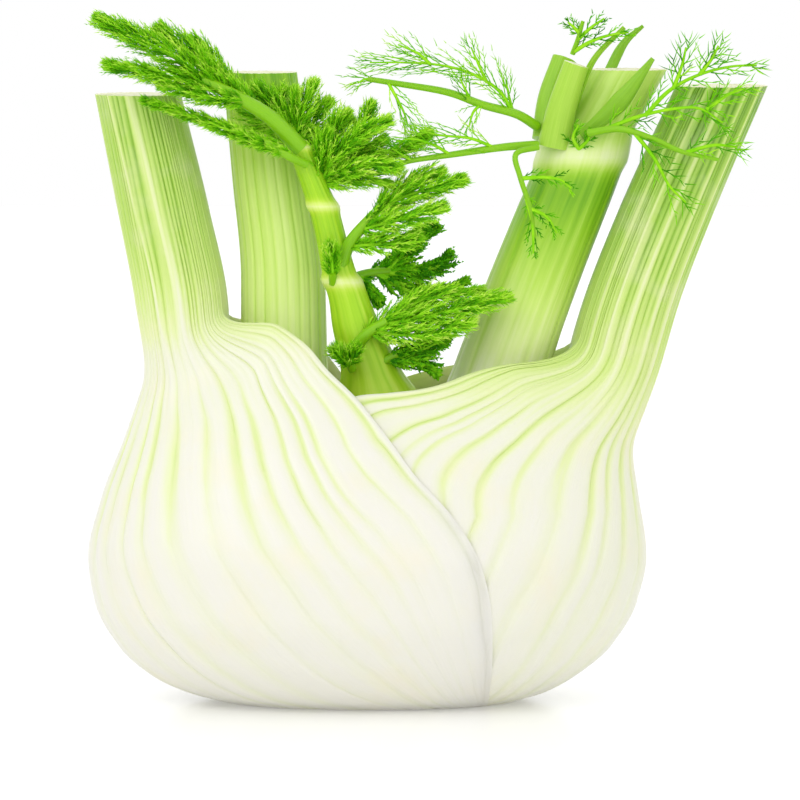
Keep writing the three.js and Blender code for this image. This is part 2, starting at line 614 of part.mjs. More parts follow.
// A round or flattened twig along points, with radii spread evenly along it.
function limbMesh(points, radii, sides, flat) {
  const curve = new THREE.CatmullRomCurve3(points);
  const steps = Math.max(2, Math.round(curve.getLength() / LIMB_STEP));
  const upright = new THREE.Vector3(0, 1, 0);
  const rings = Array.from({ length: steps + 1 }, (_, k) => {
    const t = k / steps;
    const middle = curve.getPointAt(t);
    const across = new THREE.Vector3().crossVectors(curve.getTangentAt(t), upright).normalize();
    const depthward = new THREE.Vector3().crossVectors(across, curve.getTangentAt(t)).normalize();
    const place = t * (radii.length - 1);
    const i = Math.min(Math.floor(place), radii.length - 2);
    const radius = lerp(radii[i], radii[i + 1], place - i);
    return Array.from({ length: sides }, (__, n) => {
      const angle = (2 * Math.PI * n) / sides;
      return middle.clone()
        .addScaledVector(across, radius * Math.cos(angle))
        .addScaledVector(depthward, radius * flat * Math.sin(angle));
    });
  });
  return loft(rings);
}

// Evenly spread draws that are the same on each run.
function seededDraw(seed) {
  let state = seed;
  return () => {
    state = (state * 1664525 + 1013904223) % 4294967296;
    return state / 4294967296;
  };
}

// The shortest distance between two straight pieces.
function segmentDistance(a, b) {
  const alongA = b.from.clone().sub(a.from);
  const first = a.to.clone().sub(a.from);
  const second = b.to.clone().sub(b.from);
  const lengthA = first.lengthSq();
  const lengthB = second.lengthSq();
  const mixed = first.dot(second);
  const towardsA = first.dot(alongA);
  const towardsB = second.dot(alongA);
  const spread = lengthA * lengthB - mixed * mixed;
  let s = spread > 1e-9 ? (towardsA * lengthB - mixed * towardsB) / spread : 0;
  s = THREE.MathUtils.clamp(s, 0, 1);
  const t = THREE.MathUtils.clamp((mixed * s - towardsB) / lengthB, 0, 1);
  s = THREE.MathUtils.clamp((mixed * t + towardsA) / lengthA, 0, 1);
  const onA = a.from.clone().addScaledVector(first, s);
  const onB = b.from.clone().addScaledVector(second, t);
  return onA.distanceTo(onB);
}

// What already stands: straight pieces of fronds and branches, each with its radius and its node.
const standing = [];

function register(node, points, radius) {
  for (let i = 1; i < points.length; i += 1) {
    standing.push({ node, from: points[i - 1], to: points[i], radius });
  }
}

function rowsAt(rows) {
  const rising = rows[0][0] < rows[rows.length - 1][0] ? rows : [...rows].reverse();
  const heights = rising.map((row) => row[0]);
  const curves = [1, 2, 3, 4].map((column) => through(heights, rising.map((row) => row[column])));
  return { low: heights[0], high: heights[heights.length - 1], curves };
}

const outerStalkRows = (leaf) => leaf.stalk.heights.map((height, i) => [
  height,
  (leaf.stalk.outer[i] + leaf.stalk.inner[i]) / 2,
  0,
  Math.abs(leaf.stalk.outer[i] - leaf.stalk.inner[i]) / 2,
  leaf.stalk.halfDepth[i],
]);
const columns = [
  rowsAt(outerStalkRows(LEFT_LEAF)),
  rowsAt(outerStalkRows(RIGHT_LEAF)),
  rowsAt(LEFT_STALK_ROWS),
  rowsAt(RIGHT_STALK_ROWS),
];
const stemColumn = rowsAt(STEM_ROWS);

function insideColumn({ low, high, curves }, point, margin) {
  if (point.z < low || point.z > high + margin) return false;
  const [x, y, halfWidth, halfDepth] = curves.map((curve) => curve(point.z));
  return ((point.x - x) / (halfWidth + margin)) ** 2 + ((point.y - y) / (halfDepth + margin)) ** 2 < 1;
}

// A needle may stand where it keeps clear of every stalk and of every other frond.
function hasRoom(node, from, to, radius) {
  const candidate = { from, to };
  for (let k = 1; k <= ROOM_POINTS; k += 1) {
    const point = from.clone().lerp(to, k / ROOM_POINTS);
    if (columns.some((column) => insideColumn(column, point, radius + CLEARANCE))) return false;
    if (k > FREE_POINTS && insideColumn(stemColumn, point, radius + CLEARANCE)) return false;
  }
  return standing.every((other) => other.node === node
    || segmentDistance(candidate, other) > other.radius + radius + CLEARANCE);
}

// One lobe of a frond: a slim core along its path, with a three-sided needle raised from each of its
// facets. The needles are longest near the middle of the lobe and lean towards its tip.
function lobeMesh(node, lobe, style, draw) {
  const curve = new THREE.CatmullRomCurve3(lobe.path.map(spot));
  register(node, curve.getPoints(6), style.core);
  const { sides } = style;
  const rows = Math.max(3, Math.round(curve.getLength() / style.pitch));
  const positions = [];
  const faces = [];
  const addPoint = (point) => positions.push(point.x, point.y, point.z) / 3 - 1;
  const frames = Array.from({ length: rows + 1 }, (_, k) => {
    const along = curve.getTangentAt(k / rows);
    const across = new THREE.Vector3().crossVectors(along, new THREE.Vector3(0, 1, 0)).normalize();
    return { middle: curve.getPointAt(k / rows), along, across, depthward: across.clone().cross(along) };
  });
  const outwardAt = ({ across, depthward }, angle) => across.clone()
    .multiplyScalar(Math.cos(angle)).addScaledVector(depthward, Math.sin(angle));
  const angleOf = (k, i) => (2 * Math.PI * (i + 0.5 * k)) / sides;
  const points = frames.map((frame, k) => Array.from({ length: sides }, (_, i) => {
    const radius = style.core * (1 - LOBE_TAPER * (k / rows));
    const point = frame.middle.clone().addScaledVector(outwardAt(frame, angleOf(k, i)), radius);
    return { point, index: addPoint(point) };
  }));
  const raiseNeedle = (k, corners, angle) => {
    const t = (k + 0.5) / rows;
    const frame = frames[k];
    const lean = lerp(style.lean, TIP_LEAN_SHARE * style.lean, t * t);
    const direction = frame.along.clone().multiplyScalar(Math.cos(lean))
      .addScaledVector(outwardAt(frame, angle), Math.sin(lean));
    const swell = Math.sin(Math.PI * (NEEDLE_SWELL.start + NEEDLE_SWELL.run * t)) ** NEEDLE_SWELL.power;
    const rise = lobe.spread * swell * (NEEDLE_VARIATION.least + NEEDLE_VARIATION.range * draw());
    const length = rise / Math.sin(Math.max(lean, LEAST_NEEDLE_LEAN));
    const foot = new THREE.Vector3();
    corners.forEach(({ point }) => foot.addScaledVector(point, 1 / 3));
    const tip = foot.clone().addScaledVector(direction, length);
    const [a, b, c] = corners.map(({ index }) => index);
    if (hasRoom(node, foot, tip, NEEDLE_RADIUS)) {
      standing.push({ node, from: foot, to: tip, radius: NEEDLE_RADIUS });
      const top = addPoint(tip);
      faces.push(a, b, top, b, c, top, c, a, top);
    } else {
      faces.push(a, b, c);
    }
  };
  for (let k = 0; k < rows; k += 1) {
    for (let i = 0; i < sides; i += 1) {
      const next = (i + 1) % sides;
      const [a, b, c, d] = [points[k][i], points[k][next], points[k + 1][i], points[k + 1][next]];
      if ((k + i) % style.every === 0) raiseNeedle(k, [a, b, c], angleOf(k, i + 0.5));
      else faces.push(a.index, b.index, c.index);
      faces.push(b.index, d.index, c.index);
    }
  }
  const { middle, along } = frames[rows];
  const start = addPoint(frames[0].middle);
  const end = addPoint(middle.clone().addScaledVector(along, TIP_REACH * lobe.spread));
  for (let i = 0; i < sides; i += 1) {
    const next = (i + 1) % sides;
    faces.push(points[0][next].index, points[0][i].index, start);
    faces.push(points[rows][i].index, points[rows][next].index, end);
  }
  return { positions, faces };
}

function frondSolid(node, frond, style, carrier, seed) {
  const draw = seededDraw(seed);
  const petiole = frond.petiole.path.map(spot);
  register(node, petiole, frond.petiole.radii[0]);
  const solids = [solidOf(limbMesh(petiole, frond.petiole.radii, PETIOLE_SIDES, 1))];
  for (const lobe of frond.lobes) solids.push(solidOf(lobeMesh(node, lobe, style, draw)));
  return mainBody(wasm.Manifold.union(solids).subtract(carrier));
}

// The root end fills the ring that the sheaths leave open at the bottom, as a shallow dish.
function rootEndSolid() {
  const rings = ROOT_END_RINGS.map(([height, inset]) => Array.from({ length: ROOT_END_SIDES }, (_, i) => {
    const angle = (2 * Math.PI * i) / ROOT_END_SIDES;
    return bulbSpot(angle, height, inset);
  }));
  return solidOf(loft(rings));
}

// The two outer leaves: the second is cut clear of the first along its front and back edges
const leftSolid = leafSolid(leftLeaf, 0);
const leftGrown = leafSolid(leftLeaf, CLEARANCE);
const rightSolid = mainBody(leafSolid(rightLeaf, 0).subtract(leftGrown));
addPiece("outer_leaf_left", leftSolid, COLOURS.sheath, ROUGHNESS.sheath);
addPiece("outer_leaf_right", rightSolid, COLOURS.sheath, ROUGHNESS.sheath);

// The two inner leaves
addPiece("inner_leaf_left", stackSolid(LEFT_STALK_ROWS, STALK_RIBS, 0), COLOURS.stalk, ROUGHNESS.stalk);
const branches = BRANCHES.map(({ path, radii, sides, flat }) => {
  const points = path.map(spot);
  register("inner_leaf_right", points, Math.max(...radii));
  return solidOf(limbMesh(points, radii, sides, flat));
});
const branchesGrown = BRANCHES.map(({ path, radii, sides }) => {
  const wider = radii.map((radius) => radius + CLEARANCE);
  return solidOf(limbMesh(path.map(spot), wider, sides, 1));
});
const rightStalk = stackSolid(RIGHT_STALK_ROWS, STALK_RIBS, 0);
const branchedStalk = mainBody(wasm.Manifold.union([rightStalk, ...branches]));
addPiece("inner_leaf_right", branchedStalk, COLOURS.stalk, ROUGHNESS.stalk);
const rightStalkGrown = stackSolid(RIGHT_STALK_ROWS, STALK_RIBS, CLEARANCE);
const jointGrown = wasm.Manifold.union([rightStalkGrown, ...branchesGrown]);

// The young shoot and its fronds
addPiece("young_shoot_stem", stackSolid(STEM_ROWS, STEM_RIBS, 0), COLOURS.stem, ROUGHNESS.stalk);
const stemGrown = stackSolid(STEM_ROWS, STEM_RIBS, CLEARANCE);
Object.entries(SHOOT_FRONDS).forEach(([name, frond], i) => {
  const solid = frondSolid(name, frond, DENSE_NEEDLE, stemGrown, SEEDS.shoot + i);
  addPiece(name, solid, COLOURS.frond, ROUGHNESS.frond);
});

// The thin sprays at the fourth leaf's joint
Object.entries(JOINT_SPRAYS).forEach(([name, frond], i) => {
  const solid = frondSolid(name, frond, THREAD_NEEDLE, jointGrown, SEEDS.spray + i);
  addPiece(name, solid, COLOURS.frond, ROUGHNESS.frond);
});

addPiece("root_end", rootEndSolid(), COLOURS.rootEnd, ROUGHNESS.rootEnd);

export default fennel;
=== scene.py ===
"""Fennel bulb, dressed: ribbed sheaths, cut stalks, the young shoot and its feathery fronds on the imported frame.

All shape tables are millimetres in the frame's own axes: X to the bulb's right, the broad front facing -Y,
Z up from the floor. Points are turned into metres only when a mesh is made.
"""
import math

import bpy
import numpy as np
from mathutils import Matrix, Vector


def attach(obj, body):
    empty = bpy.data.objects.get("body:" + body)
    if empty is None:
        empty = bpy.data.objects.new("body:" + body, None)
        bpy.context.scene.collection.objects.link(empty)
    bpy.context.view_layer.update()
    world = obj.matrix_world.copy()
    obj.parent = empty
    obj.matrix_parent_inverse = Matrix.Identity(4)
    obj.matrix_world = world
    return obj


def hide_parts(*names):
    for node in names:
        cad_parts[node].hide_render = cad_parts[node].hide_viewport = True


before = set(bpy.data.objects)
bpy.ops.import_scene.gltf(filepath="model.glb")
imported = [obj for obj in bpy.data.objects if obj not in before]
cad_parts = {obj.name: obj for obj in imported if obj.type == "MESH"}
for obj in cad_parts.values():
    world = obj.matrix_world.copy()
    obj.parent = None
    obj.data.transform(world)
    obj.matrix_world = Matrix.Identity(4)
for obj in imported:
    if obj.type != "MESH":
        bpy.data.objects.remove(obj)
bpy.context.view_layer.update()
MM = 0.001
TURN = 2 * math.pi
# Creases sharper than this are shaded as edges
SHARP_ANGLE = math.radians(48)
# How many points the leaves' sides and free edges, a plume's axis and a twig are worked out at, and how finely
# each stretch of a rounded path is walked
SIDE_POINTS, EDGE_POINTS, AXIS_POINTS, TWIG_POINTS, WALK_STEPS = 81, 120, 80, 34, 60

# ---------------------------------------------------------------- shape tables
BULB_HEIGHTS = [0, 2, 5.4, 11.8, 21.4, 31, 43.9, 53.6, 63.2, 72.9, 85.7]
BULB_LEFT = [-31.5, -38.8, -46.1, -53.2, -58.3, -59.6, -56.6, -52.9, -49.3, -47.1, -49.3]
BULB_RIGHT = [33, 39.4, 45.6, 53.1, 58.7, 60.6, 58.9, 57.6, 60.4, 63.9, 67.5]
BULB_DEPTH = [19, 23.6, 28, 33, 37, 37.5, 34, 29.4, 23.8, 18.4, 14]
# How square the bulb is seen from above, where 2 would be an ellipse
SQUARENESS = 2.2
# How far the first leaf's free edge stands proud of the second leaf, where that step ends, as a share of the
# way to the edge, and how fast it fades there
SHEATH_STEP, EDGE_FOOT, STEP_FADE = 0.7, 1.012, 6
# How far round a stalk its ribbed skin reaches from the leaf's own side
STALK_WRAP = math.radians(150)
# Where a sheath's grooves run, as shares of the way from the leaf's own side to its free edge
GROOVES = [0, 0.126, 0.222, 0.3, 0.371, 0.48, 0.58, 0.67, 0.743, 0.795, 0.836, 0.876, 0.929, 0.976, 1.0]

LEFT_LEAF = {
    "turn": 1,
    "neck": 84,
    "top": 129.7,
    "stalk_heights": [58, 70, 85.7, 105, 129.7],
    "outer": [-51.5, -47.4, -49.3, -52.9, -57.6],
    "inner": [-27, -28, -28.9, -32.8, -38.8],
    "half_depth": [12.6, 11.6, 10.6, 10, 9.2],
    "thick_heights": [0, 12, 31, 50, 62, 72, 84],
    "thickness": [5, 6.5, 8, 10, 13.5, 17, 19],
    "sweep": ([0, 5, 13, 24, 36], [0.65, 0.56, 0.37, 0.15, 0]),
    "front_edge": [(-27.2, 83), (-19.3, 81.6), (-12.2, 77), (-7.7, 71.9), (-1.5, 66.1), (5.6, 57.4), (10.7, 50.6),
                   (18, 42.9), (23.1, 35.1), (25.9, 26.3), (26.8, 12.8), (26, 0)],
    "back_edge": [(-27.2, 83), (-18, 80), (-9, 73.5), (-1, 62), (8, 48), (14, 34), (17, 18), (17, 0)],
}
RIGHT_LEAF = {
    "turn": -1,
    "neck": 78,
    "top": 131.5,
    "stalk_heights": [56, 70, 85.7, 105, 133],
    "outer": [58.2, 62.9, 67.5, 74.8, 86.6],
    "inner": [38, 41.8, 46.3, 53.8, 66.6],
    "half_depth": [13, 12, 11, 10.4, 9.4],
    "thick_heights": [0, 12, 31, 50, 62, 72, 78],
    "thickness": [5, 6.5, 8, 10, 14, 18, 19],
    "sweep": ([0, 5, 12, 20, 30, 42], [0.8, 0.8, 0.74, 0.6, 0.3, 0]),
    "front_edge": [(41, 74), (35, 73.5), (27, 72.4), (22, 71), (17, 69.2), (12, 68), (5, 67.2), (-3, 66.2),
                   (-9, 62), (-12, 54), (-12, 42), (-8, 28), (-3, 13), (0, 0)],
    "back_edge": [(41, 74), (33, 73), (24, 71.5), (14, 69.5), (5, 66.5), (-4, 62), (-10, 52), (-14, 38),
                  (-12, 18), (-10, 0)],
}

# Rows of an inner leaf or the stem: height, middle in X, middle in Y, half width, half depth, rib depth
LEFT_STALK_ROWS = [
    (7, -16, 0, 10, 8, 0), (14, -22, 0, 18, 15, 0), (31, -26, 0, 20.5, 23, 0), (48, -22.6, 0.4, 17, 18.6, 0),
    (57, -20, 0.8, 13.4, 13.4, 0), (65, -18, 1.2, 10.6, 10, 0.2), (72, -17.4, 1.4, 9.4, 8.2, 0.45),
    (90, -17.6, 3.6, 9.1, 8.2, 0.45), (112, -20, 5.4, 8.6, 7.8, 0.45), (134.4, -22.6, 6.5, 8, 7.2, 0.45),
]
RIGHT_STALK_ROWS = [
    (7, 17, 0, 10.5, 8, 0), (14, 23, 0, 17, 15, 0), (31, 27, 0, 19.5, 23, 0), (48, 26, 0.2, 17, 19, 0),
    (57, 26.4, 0.4, 14, 13.4, 0), (65, 27.6, 0.6, 11.4, 10.2, 0.2), (73, 29.9, 0.8, 10.4, 8.8, 0.35),
    (90, 36.2, 2.4, 10, 9.4, 0.35), (105, 42.2, 3, 9.8, 9.3, 0.35), (112.5, 45.2, 3, 9.6, 9.2, 0.3),
    (115.5, 46.2, 3, 10.1, 9.7, 0), (119.6, 47.4, 3, 9.7, 9.4, 0), (122, 49, 4, 8.6, 8.4, 0.3),
    (135, 56.2, 5, 8.6, 7.4, 0.35),
]
STEM_ROWS = [
    (7, 1, 0, 4.4, 7, 0), (20, 1, 0, 4, 14, 0), (44, 1.8, 0, 5.2, 17, 0), (56, 2.8, -0.4, 8, 13, 0),
    (65, 2.8, -1.6, 8.8, 9.4, 0.15), (71, 1.4, -4, 6.6, 6.2, 0.2), (80, -1.6, -5.6, 5.3, 4.6, 0.2),
    (88, -3.9, -6, 4.3, 4, 0.1), (90.3, -4.9, -6.2, 4.5, 4.2, 0), (92, -5.4, -6.4, 3.7, 3.5, 0.15),
    (104, -8.2, -7.6, 3.2, 3.1, 0.15), (106, -8.8, -7.9, 3.6, 3.5, 0), (108, -9.6, -8.2, 3.1, 3, 0.15),
    (116.5, -13, -9.4, 2.7, 2.6, 0.1), (118.6, -13.9, -9.8, 2.9, 2.8, 0), (120, -14.6, -10, 2.4, 2.3, 0),
]
# The root end's outline: height, and how far inside the bulb's skin
ROOT_END_RINGS = [(0, 6.5), (2.5, 7.1), (5.4, 8), (6.2, 9.4)]

# Fronds lie along paths given by the picture frame's column and row and a depth in mm. A step of the frame is
# PIXEL mm, and VIEW_RISE is the tangent of the view's rise, by which a nearer thing looks lower.
PICTURE, PIXEL, MIDDLE_COLUMN, GROUND_ROW, VIEW_RISE = 800, 0.2143, 365, 700, 0.07

# Each frond: its stem's path, the stem's radii, then its plumes as (path, spread)
SHOOT_FRONDS = {
    "shoot_frond_top_left": ([(302, 152, -11), (272, 122, -13), (241, 103, -14), (206, 86, -14)], (2, 1.2), [
        ([(222, 94, -14), (178, 63, -14.5), (136, 41, -15), (104, 26, -15)], 3.1),
        ([(230, 97, -13.5), (202, 64, -12), (178, 44, -11), (162, 34, -11)], 2.6),
        ([(246, 106, -13), (224, 76, -10), (207, 56, -9), (194, 44, -8)], 2.4),
        ([(216, 91, -14), (172, 83, -16.5), (138, 77, -17), (114, 71, -17)], 2.2),
        ([(262, 116, -13), (238, 96, -12), (216, 74, -12), (206, 66, -12)], 2.4),
        ([(250, 107, -14.5), (222, 104, -16), (192, 98, -17), (168, 92, -17)], 1.9)]),
    "shoot_frond_low_left": ([(308, 168, -12.4), (290, 160, -14.6), (262, 142, -15.2)], (1, 0.8), [
        ([(292, 157, -14.5), (250, 142, -15.5), (190, 119, -16), (150, 107, -16)], 1.4)]),
    "shoot_frond_top": ([(299, 150, -9), (295, 138, -7.6), (292, 128, -6.6)], (1.3, 0.9), [
        ([(294, 136, -7.4), (282, 118, -6.6), (268, 102, -6.4), (256, 90, -6.4)], 2.7),
        ([(295, 140, -7.6), (303, 118, -6.4), (309, 100, -5.6), (314, 86, -5)], 2.5),
        ([(296, 138, -7.6), (276, 128, -8), (256, 120, -8.4), (244, 113, -8.6)], 2),
        ([(297, 146, -8), (286, 126, -5), (278, 110, -4), (284, 92, -4)], 2.6),
        ([(296, 144, -8), (312, 128, -5), (322, 112, -4), (330, 104, -4)], 2.2),
        ([(298, 150, -8), (282, 136, -6.5), (264, 126, -6.5), (246, 104, -6.5)], 2.5),
        ([(300, 150, -8), (298, 130, -6.5), (293, 112, -6.5), (298, 94, -6.5)], 2.5),
        ([(303, 158, -8), (320, 144, -5), (336, 128, -4), (350, 122, -4)], 2.6)]),
    "shoot_frond_upper_right": ([(316, 190, -8.4), (332, 172, -8), (346, 160, -7.4)], (1.4, 1), [
        ([(322, 182, -8.2), (328, 155, -8), (337, 130, -8), (348, 116, -8)], 3),
        ([(330, 174, -8), (352, 158, -6), (370, 148, -5), (384, 143, -4)], 2.8),
        ([(322, 184, -8.2), (345, 182, -9.4), (370, 180, -10), (388, 186, -10)], 2.4),
        ([(318, 188, -8.4), (322, 168, -10), (324, 148, -11), (330, 136, -11)], 2.6),
        ([(340, 166, -7.6), (356, 142, -8), (366, 122, -8), (372, 108, -8)], 2.4),
        ([(352, 160, -6.4), (384, 160, -8), (408, 150, -9), (428, 136, -9)], 2.2),
        ([(328, 180, -8.2), (352, 172, -12), (374, 168, -13), (398, 172, -13)], 2.2),
        ([(320, 186, -8.4), (338, 160, -11), (360, 140, -12), (388, 124, -12)], 2.4)]),
    "shoot_frond_right": ([(340, 272, -8), (350, 245, -9.6), (374, 216, -10.6)], (1.6, 1.1), [
        ([(366, 224, -10.4), (400, 201, -11), (435, 190, -11), (462, 182, -11)], 2.8),
        ([(360, 232, -10.2), (388, 225, -13), (414, 220, -14), (442, 209, -14)], 2.5),
        ([(350, 248, -9.4), (374, 246, -11.6), (396, 244, -12.4), (418, 238, -12.4)], 2.2),
        ([(376, 216, -10.6), (398, 192, -9), (420, 180, -9), (440, 174, -9)], 2.4)]),
    "shoot_frond_rear": ([(345, 282, -3.4), (366, 274, -1.4), (390, 271, -0.6)], (1.2, 1), [
        ([(386, 272, -0.6), (404, 256, 0), (415, 240, 0), (424, 229, 0)], 2.4),
        ([(384, 272, -0.6), (412, 272, -1), (438, 265, -1), (450, 254, -1)], 2.3),
        ([(378, 273, -1), (408, 290, 0), (438, 292, 0), (466, 282, 0)], 2),
        ([(360, 277, -2), (370, 290, -3), (380, 303, -3.4)], 1.9),
        ([(372, 274, -1), (392, 262, 2), (410, 244, 3), (436, 226, 3)], 2.4)]),
    "shoot_frond_lower_right": ([(352, 352, -9), (368, 334, -11), (388, 322, -12)], (1.5, 1.1), [
        ([(366, 337, -10.8), (384, 322, -9), (404, 312, -8), (426, 305, -8)], 2.4),
        ([(380, 326, -11.8), (425, 318, -13), (465, 308, -13.6), (506, 299, -13.6)], 2.7),
        ([(372, 332, -11.2), (408, 336, -14), (438, 332, -15), (470, 323, -15)], 2.3),
        ([(388, 322, -12), (424, 300, -11), (456, 296, -11), (480, 292, -11)], 2.2)]),
    "shoot_frond_low": ([(372, 378, -7), (382, 364, -8), (398, 354, -9)], (1.3, 1), [
        ([(388, 360, -8.4), (406, 360, -9), (424, 364, -9.4), (436, 374, -9.6)], 2.4),
        ([(390, 358, -8.6), (412, 352, -9.4), (430, 346, -9.8), (446, 338, -10)], 2)]),
    "shoot_tuft_base": ([(353, 370, -10), (348, 362, -11.4)], (1, 0.9), [
        ([(350, 366, -11), (342, 357, -12.4), (336, 349, -13)], 2.1),
        ([(350, 366, -11), (354, 356, -13), (356, 348, -14)], 1.9)]),
    "shoot_tuft_joint": ([(334, 284, -9), (333, 274, -11)], (1, 0.9), [
        ([(334, 280, -10), (333, 264, -12), (330, 248, -12.6)], 1.9)]),
}
JOINT_SPRAYS = {
    "spray_upper_left": (
        [(536, 128, -3), (516, 117, -6), (482, 108, -7), (449, 96, -7), (400, 87, -6), (368, 82, -6)],
        (1.1, 0.6), [
        ([(512, 116, -6.2), (498, 94, -7), (470, 77, -8), (440, 69, -8), (404, 66, -7), (370, 66, -7)], 2.6),
        ([(470, 104, -7), (464, 92, -8), (459, 82, -9)], 1.6),
        ([(430, 68, -8), (418, 58, -9), (398, 49, -9)], 1.5),
        ([(486, 86, -7.6), (478, 70, -9), (470, 52, -10)], 1.4),
        ([(376, 83, -6), (366, 82, -6), (358, 86, -6)], 2),
        ([(388, 85, -6), (396, 100, -8), (404, 116, -9), (408, 130, -9)], 2),
        ([(480, 107, -7), (472, 116, -9), (468, 130, -10)], 1.5),
        ([(512, 116, -6.2), (508, 98, -4), (505, 82, -3)], 1.3)]),
    "spray_lower_left": (
        [(536, 147, -6), (504, 150, -9), (449, 158, -10), (410, 164, -10), (388, 170, -9.6)],
        (1, 0.5), [
        ([(494, 151, -9.4), (470, 142, -11), (440, 139, -12), (418, 134, -12)], 1.9),
        ([(450, 158, -10), (432, 148, -11.6), (412, 143, -12.6), (396, 146, -13)], 2),
        ([(412, 164, -10), (402, 158, -11), (392, 152, -12)], 1.6)]),
    "spray_hanging": (
        [(536, 150, -8.6), (514, 158, -12), (518, 180, -14), (528, 212, -14.6), (532, 240, -14.6)],
        (0.7, 0.5), [
        ([(524, 200, -14.4), (530, 226, -14.8), (531, 256, -15)], 2.1),
        ([(519, 182, -14), (540, 181, -15), (558, 184, -15.4), (568, 192, -15.6)], 1.4),
        ([(528, 212, -14.6), (544, 220, -15), (554, 236, -15.4)], 1.4),
        ([(577, 151, -6.2), (571, 140, -8), (576, 128, -9)], 1.5),
        ([(577, 151, -6.2), (586, 142, -8), (588, 134, -9)], 1.3)]),
    "spray_right": (
        [(586, 136, -9.6), (616, 133, -13), (645, 142, -15), (676, 156, -16), (712, 164, -16)],
        (0.9, 0.4), [
        ([(600, 134, -11.4), (632, 122, -14), (668, 114, -15), (694, 114, -15.4), (716, 128, -15.6)], 1.8),
        ([(630, 137, -14), (650, 164, -16), (664, 190, -16.6), (680, 206, -16.6)], 1.9),
        ([(680, 157, -16), (708, 150, -16.6), (730, 152, -17)], 1.7),
        ([(640, 121, -14.2), (664, 96, -14), (694, 80, -13.6), (726, 72, -13.4), (750, 71, -13)], 1.8),
        ([(668, 94, -14), (676, 72, -14.4), (680, 54, -15)], 1.4),
        ([(694, 80, -13.6), (706, 64, -14), (712, 52, -14)], 1.3),
        ([(700, 115, -15.4), (722, 100, -15.6), (738, 94, -15.6)], 1.4)]),
    "spray_top": ([(571, 56, -2.4), (576, 42, -3.4), (581, 24, -4)], (0.6, 0.45), [
        ([(572, 54, -2.6), (590, 44, -5), (610, 38, -6), (626, 36, -6)], 1.8),
        ([(576, 42, -3.4), (590, 30, -5), (602, 22, -5.6)], 1.6),
        ([(578, 36, -3.6), (572, 30, -4), (566, 25, -4)], 1.3)]),
}
# Cut branches and green blades of the fourth leaf: path, radii, flatness, greenness, material of the end
BRANCHES = [
    ([(545, 140, -1), (550, 100, 1), (564, 59, 3)], (3, 2.7), 0.9, 0.7, 1),
    ([(552, 148, -4), (560, 110, -5), (574, 67, -6)], (3.5, 3.1, 2.7), 0.85, 0.58, 1),
    ([(580, 138, -6), (616, 106, -9), (649, 63, -10)], (1.2, 2.1, 0.5), 0.55, 0.8, 0),
    ([(596, 110, 6), (612, 66, 12.5), (627, 38, 13), (645, 22, 13)], (1.2, 1.3, 1.1, 0.4), 0.7, 0.85, 0),
    ([(572, 110, -1), (592, 62, -3.6), (622, 30, -4)], (0.9, 0.7, 0.5), 1, 0.7, 0),
]


# ---------------------------------------------------------------- curves and walks
def through(knots, values):
    """A smooth curve through given points: cubic pieces whose slope at a knot is the harmonic mean of the rises
    on its two sides, so it never overshoots. Returns a function of whole arrays."""
    knots, values = np.asarray(knots, float), np.asarray(values, float)
    rises = np.diff(values) / np.diff(knots)
    product, total = rises[:-1] * rises[1:], rises[:-1] + rises[1:]
    inner = np.where(product > 0, 2 * product / np.where(total == 0, 1, total), 0)
    slopes = np.concatenate([rises[:1], inner, rises[-1:]])

    def curve(place):
        at = np.clip(place, knots[0], knots[-1])
        i = np.clip(np.searchsorted(knots, at, side="right") - 1, 0, len(knots) - 2)
        span = knots[i + 1] - knots[i]
        t = (at - knots[i]) / span
        bow = t * (1 - t)
        ease = t * t * (3 - 2 * t)
        bend = bow * (1 - t) * slopes[i] - bow * t * slopes[i + 1]
        return values[i] + (values[i + 1] - values[i]) * ease + span * bend

    return curve


def rounded_path(points, count):
    """count points spaced evenly in length on the rounded path through the given ones: each stretch is a cubic
    whose end directions lean on the neighbouring points, weighted by the square root of their distances."""
    given = np.asarray(points, float)
    p = np.vstack([2 * given[0] - given[1], given, 2 * given[-1] - given[-2]])
    reach = np.sqrt(np.linalg.norm(np.diff(p, axis=0), axis=1))[:, None]
    t = np.linspace(0, len(given) - 1, WALK_STEPS * len(given))
    i = np.minimum(t.astype(int), len(given) - 2)
    w = (t - i)[:, None]
    a, b, c, d = p[i], p[i + 1], p[i + 2], p[i + 3]
    before, here, after = reach[i], reach[i + 1], reach[i + 2]
    leave = ((b - a) / before - (c - a) / (before + here) + (c - b) / here) * here
    arrive = ((c - b) / here - (d - b) / (here + after) + (d - c) / after) * here
    fine = (b + leave * w + (3 * (c - b) - 2 * leave - arrive) * w ** 2
            + (2 * (b - c) + leave + arrive) * w ** 3)
    walked = np.concatenate([[0], np.cumsum(np.linalg.norm(np.diff(fine, axis=0), axis=1))])
    goal = np.linspace(0, walked[-1], count)
    return np.stack([np.interp(goal, walked, fine[:, k]) for k in range(3)], axis=1)


def smoothstep(x, low=0.0, high=1.0):
    """A smooth ramp from 0 at low to 1 at high: three t squared minus two t cubed."""
    t = np.clip((x - low) / (high - low), 0, 1)
    return t * t * (3 - 2 * t)


def round_turn(count):
    """Count angles evenly round a whole turn."""
    return np.linspace(0, TURN, count, endpoint=False)


def waves(x, seed):
    """A wandering number between about -1 and 1: four sines of unrelated lengths, shifted by the seed."""
    return (0.4 * np.sin(2.1 * x + 1.3 * seed) + 0.3 * np.sin(4.7 * x + 2.9 * seed)
            + 0.2 * np.sin(9.3 * x + 0.7 * seed) + 0.1 * np.sin(19.1 * x + 4.1 * seed))


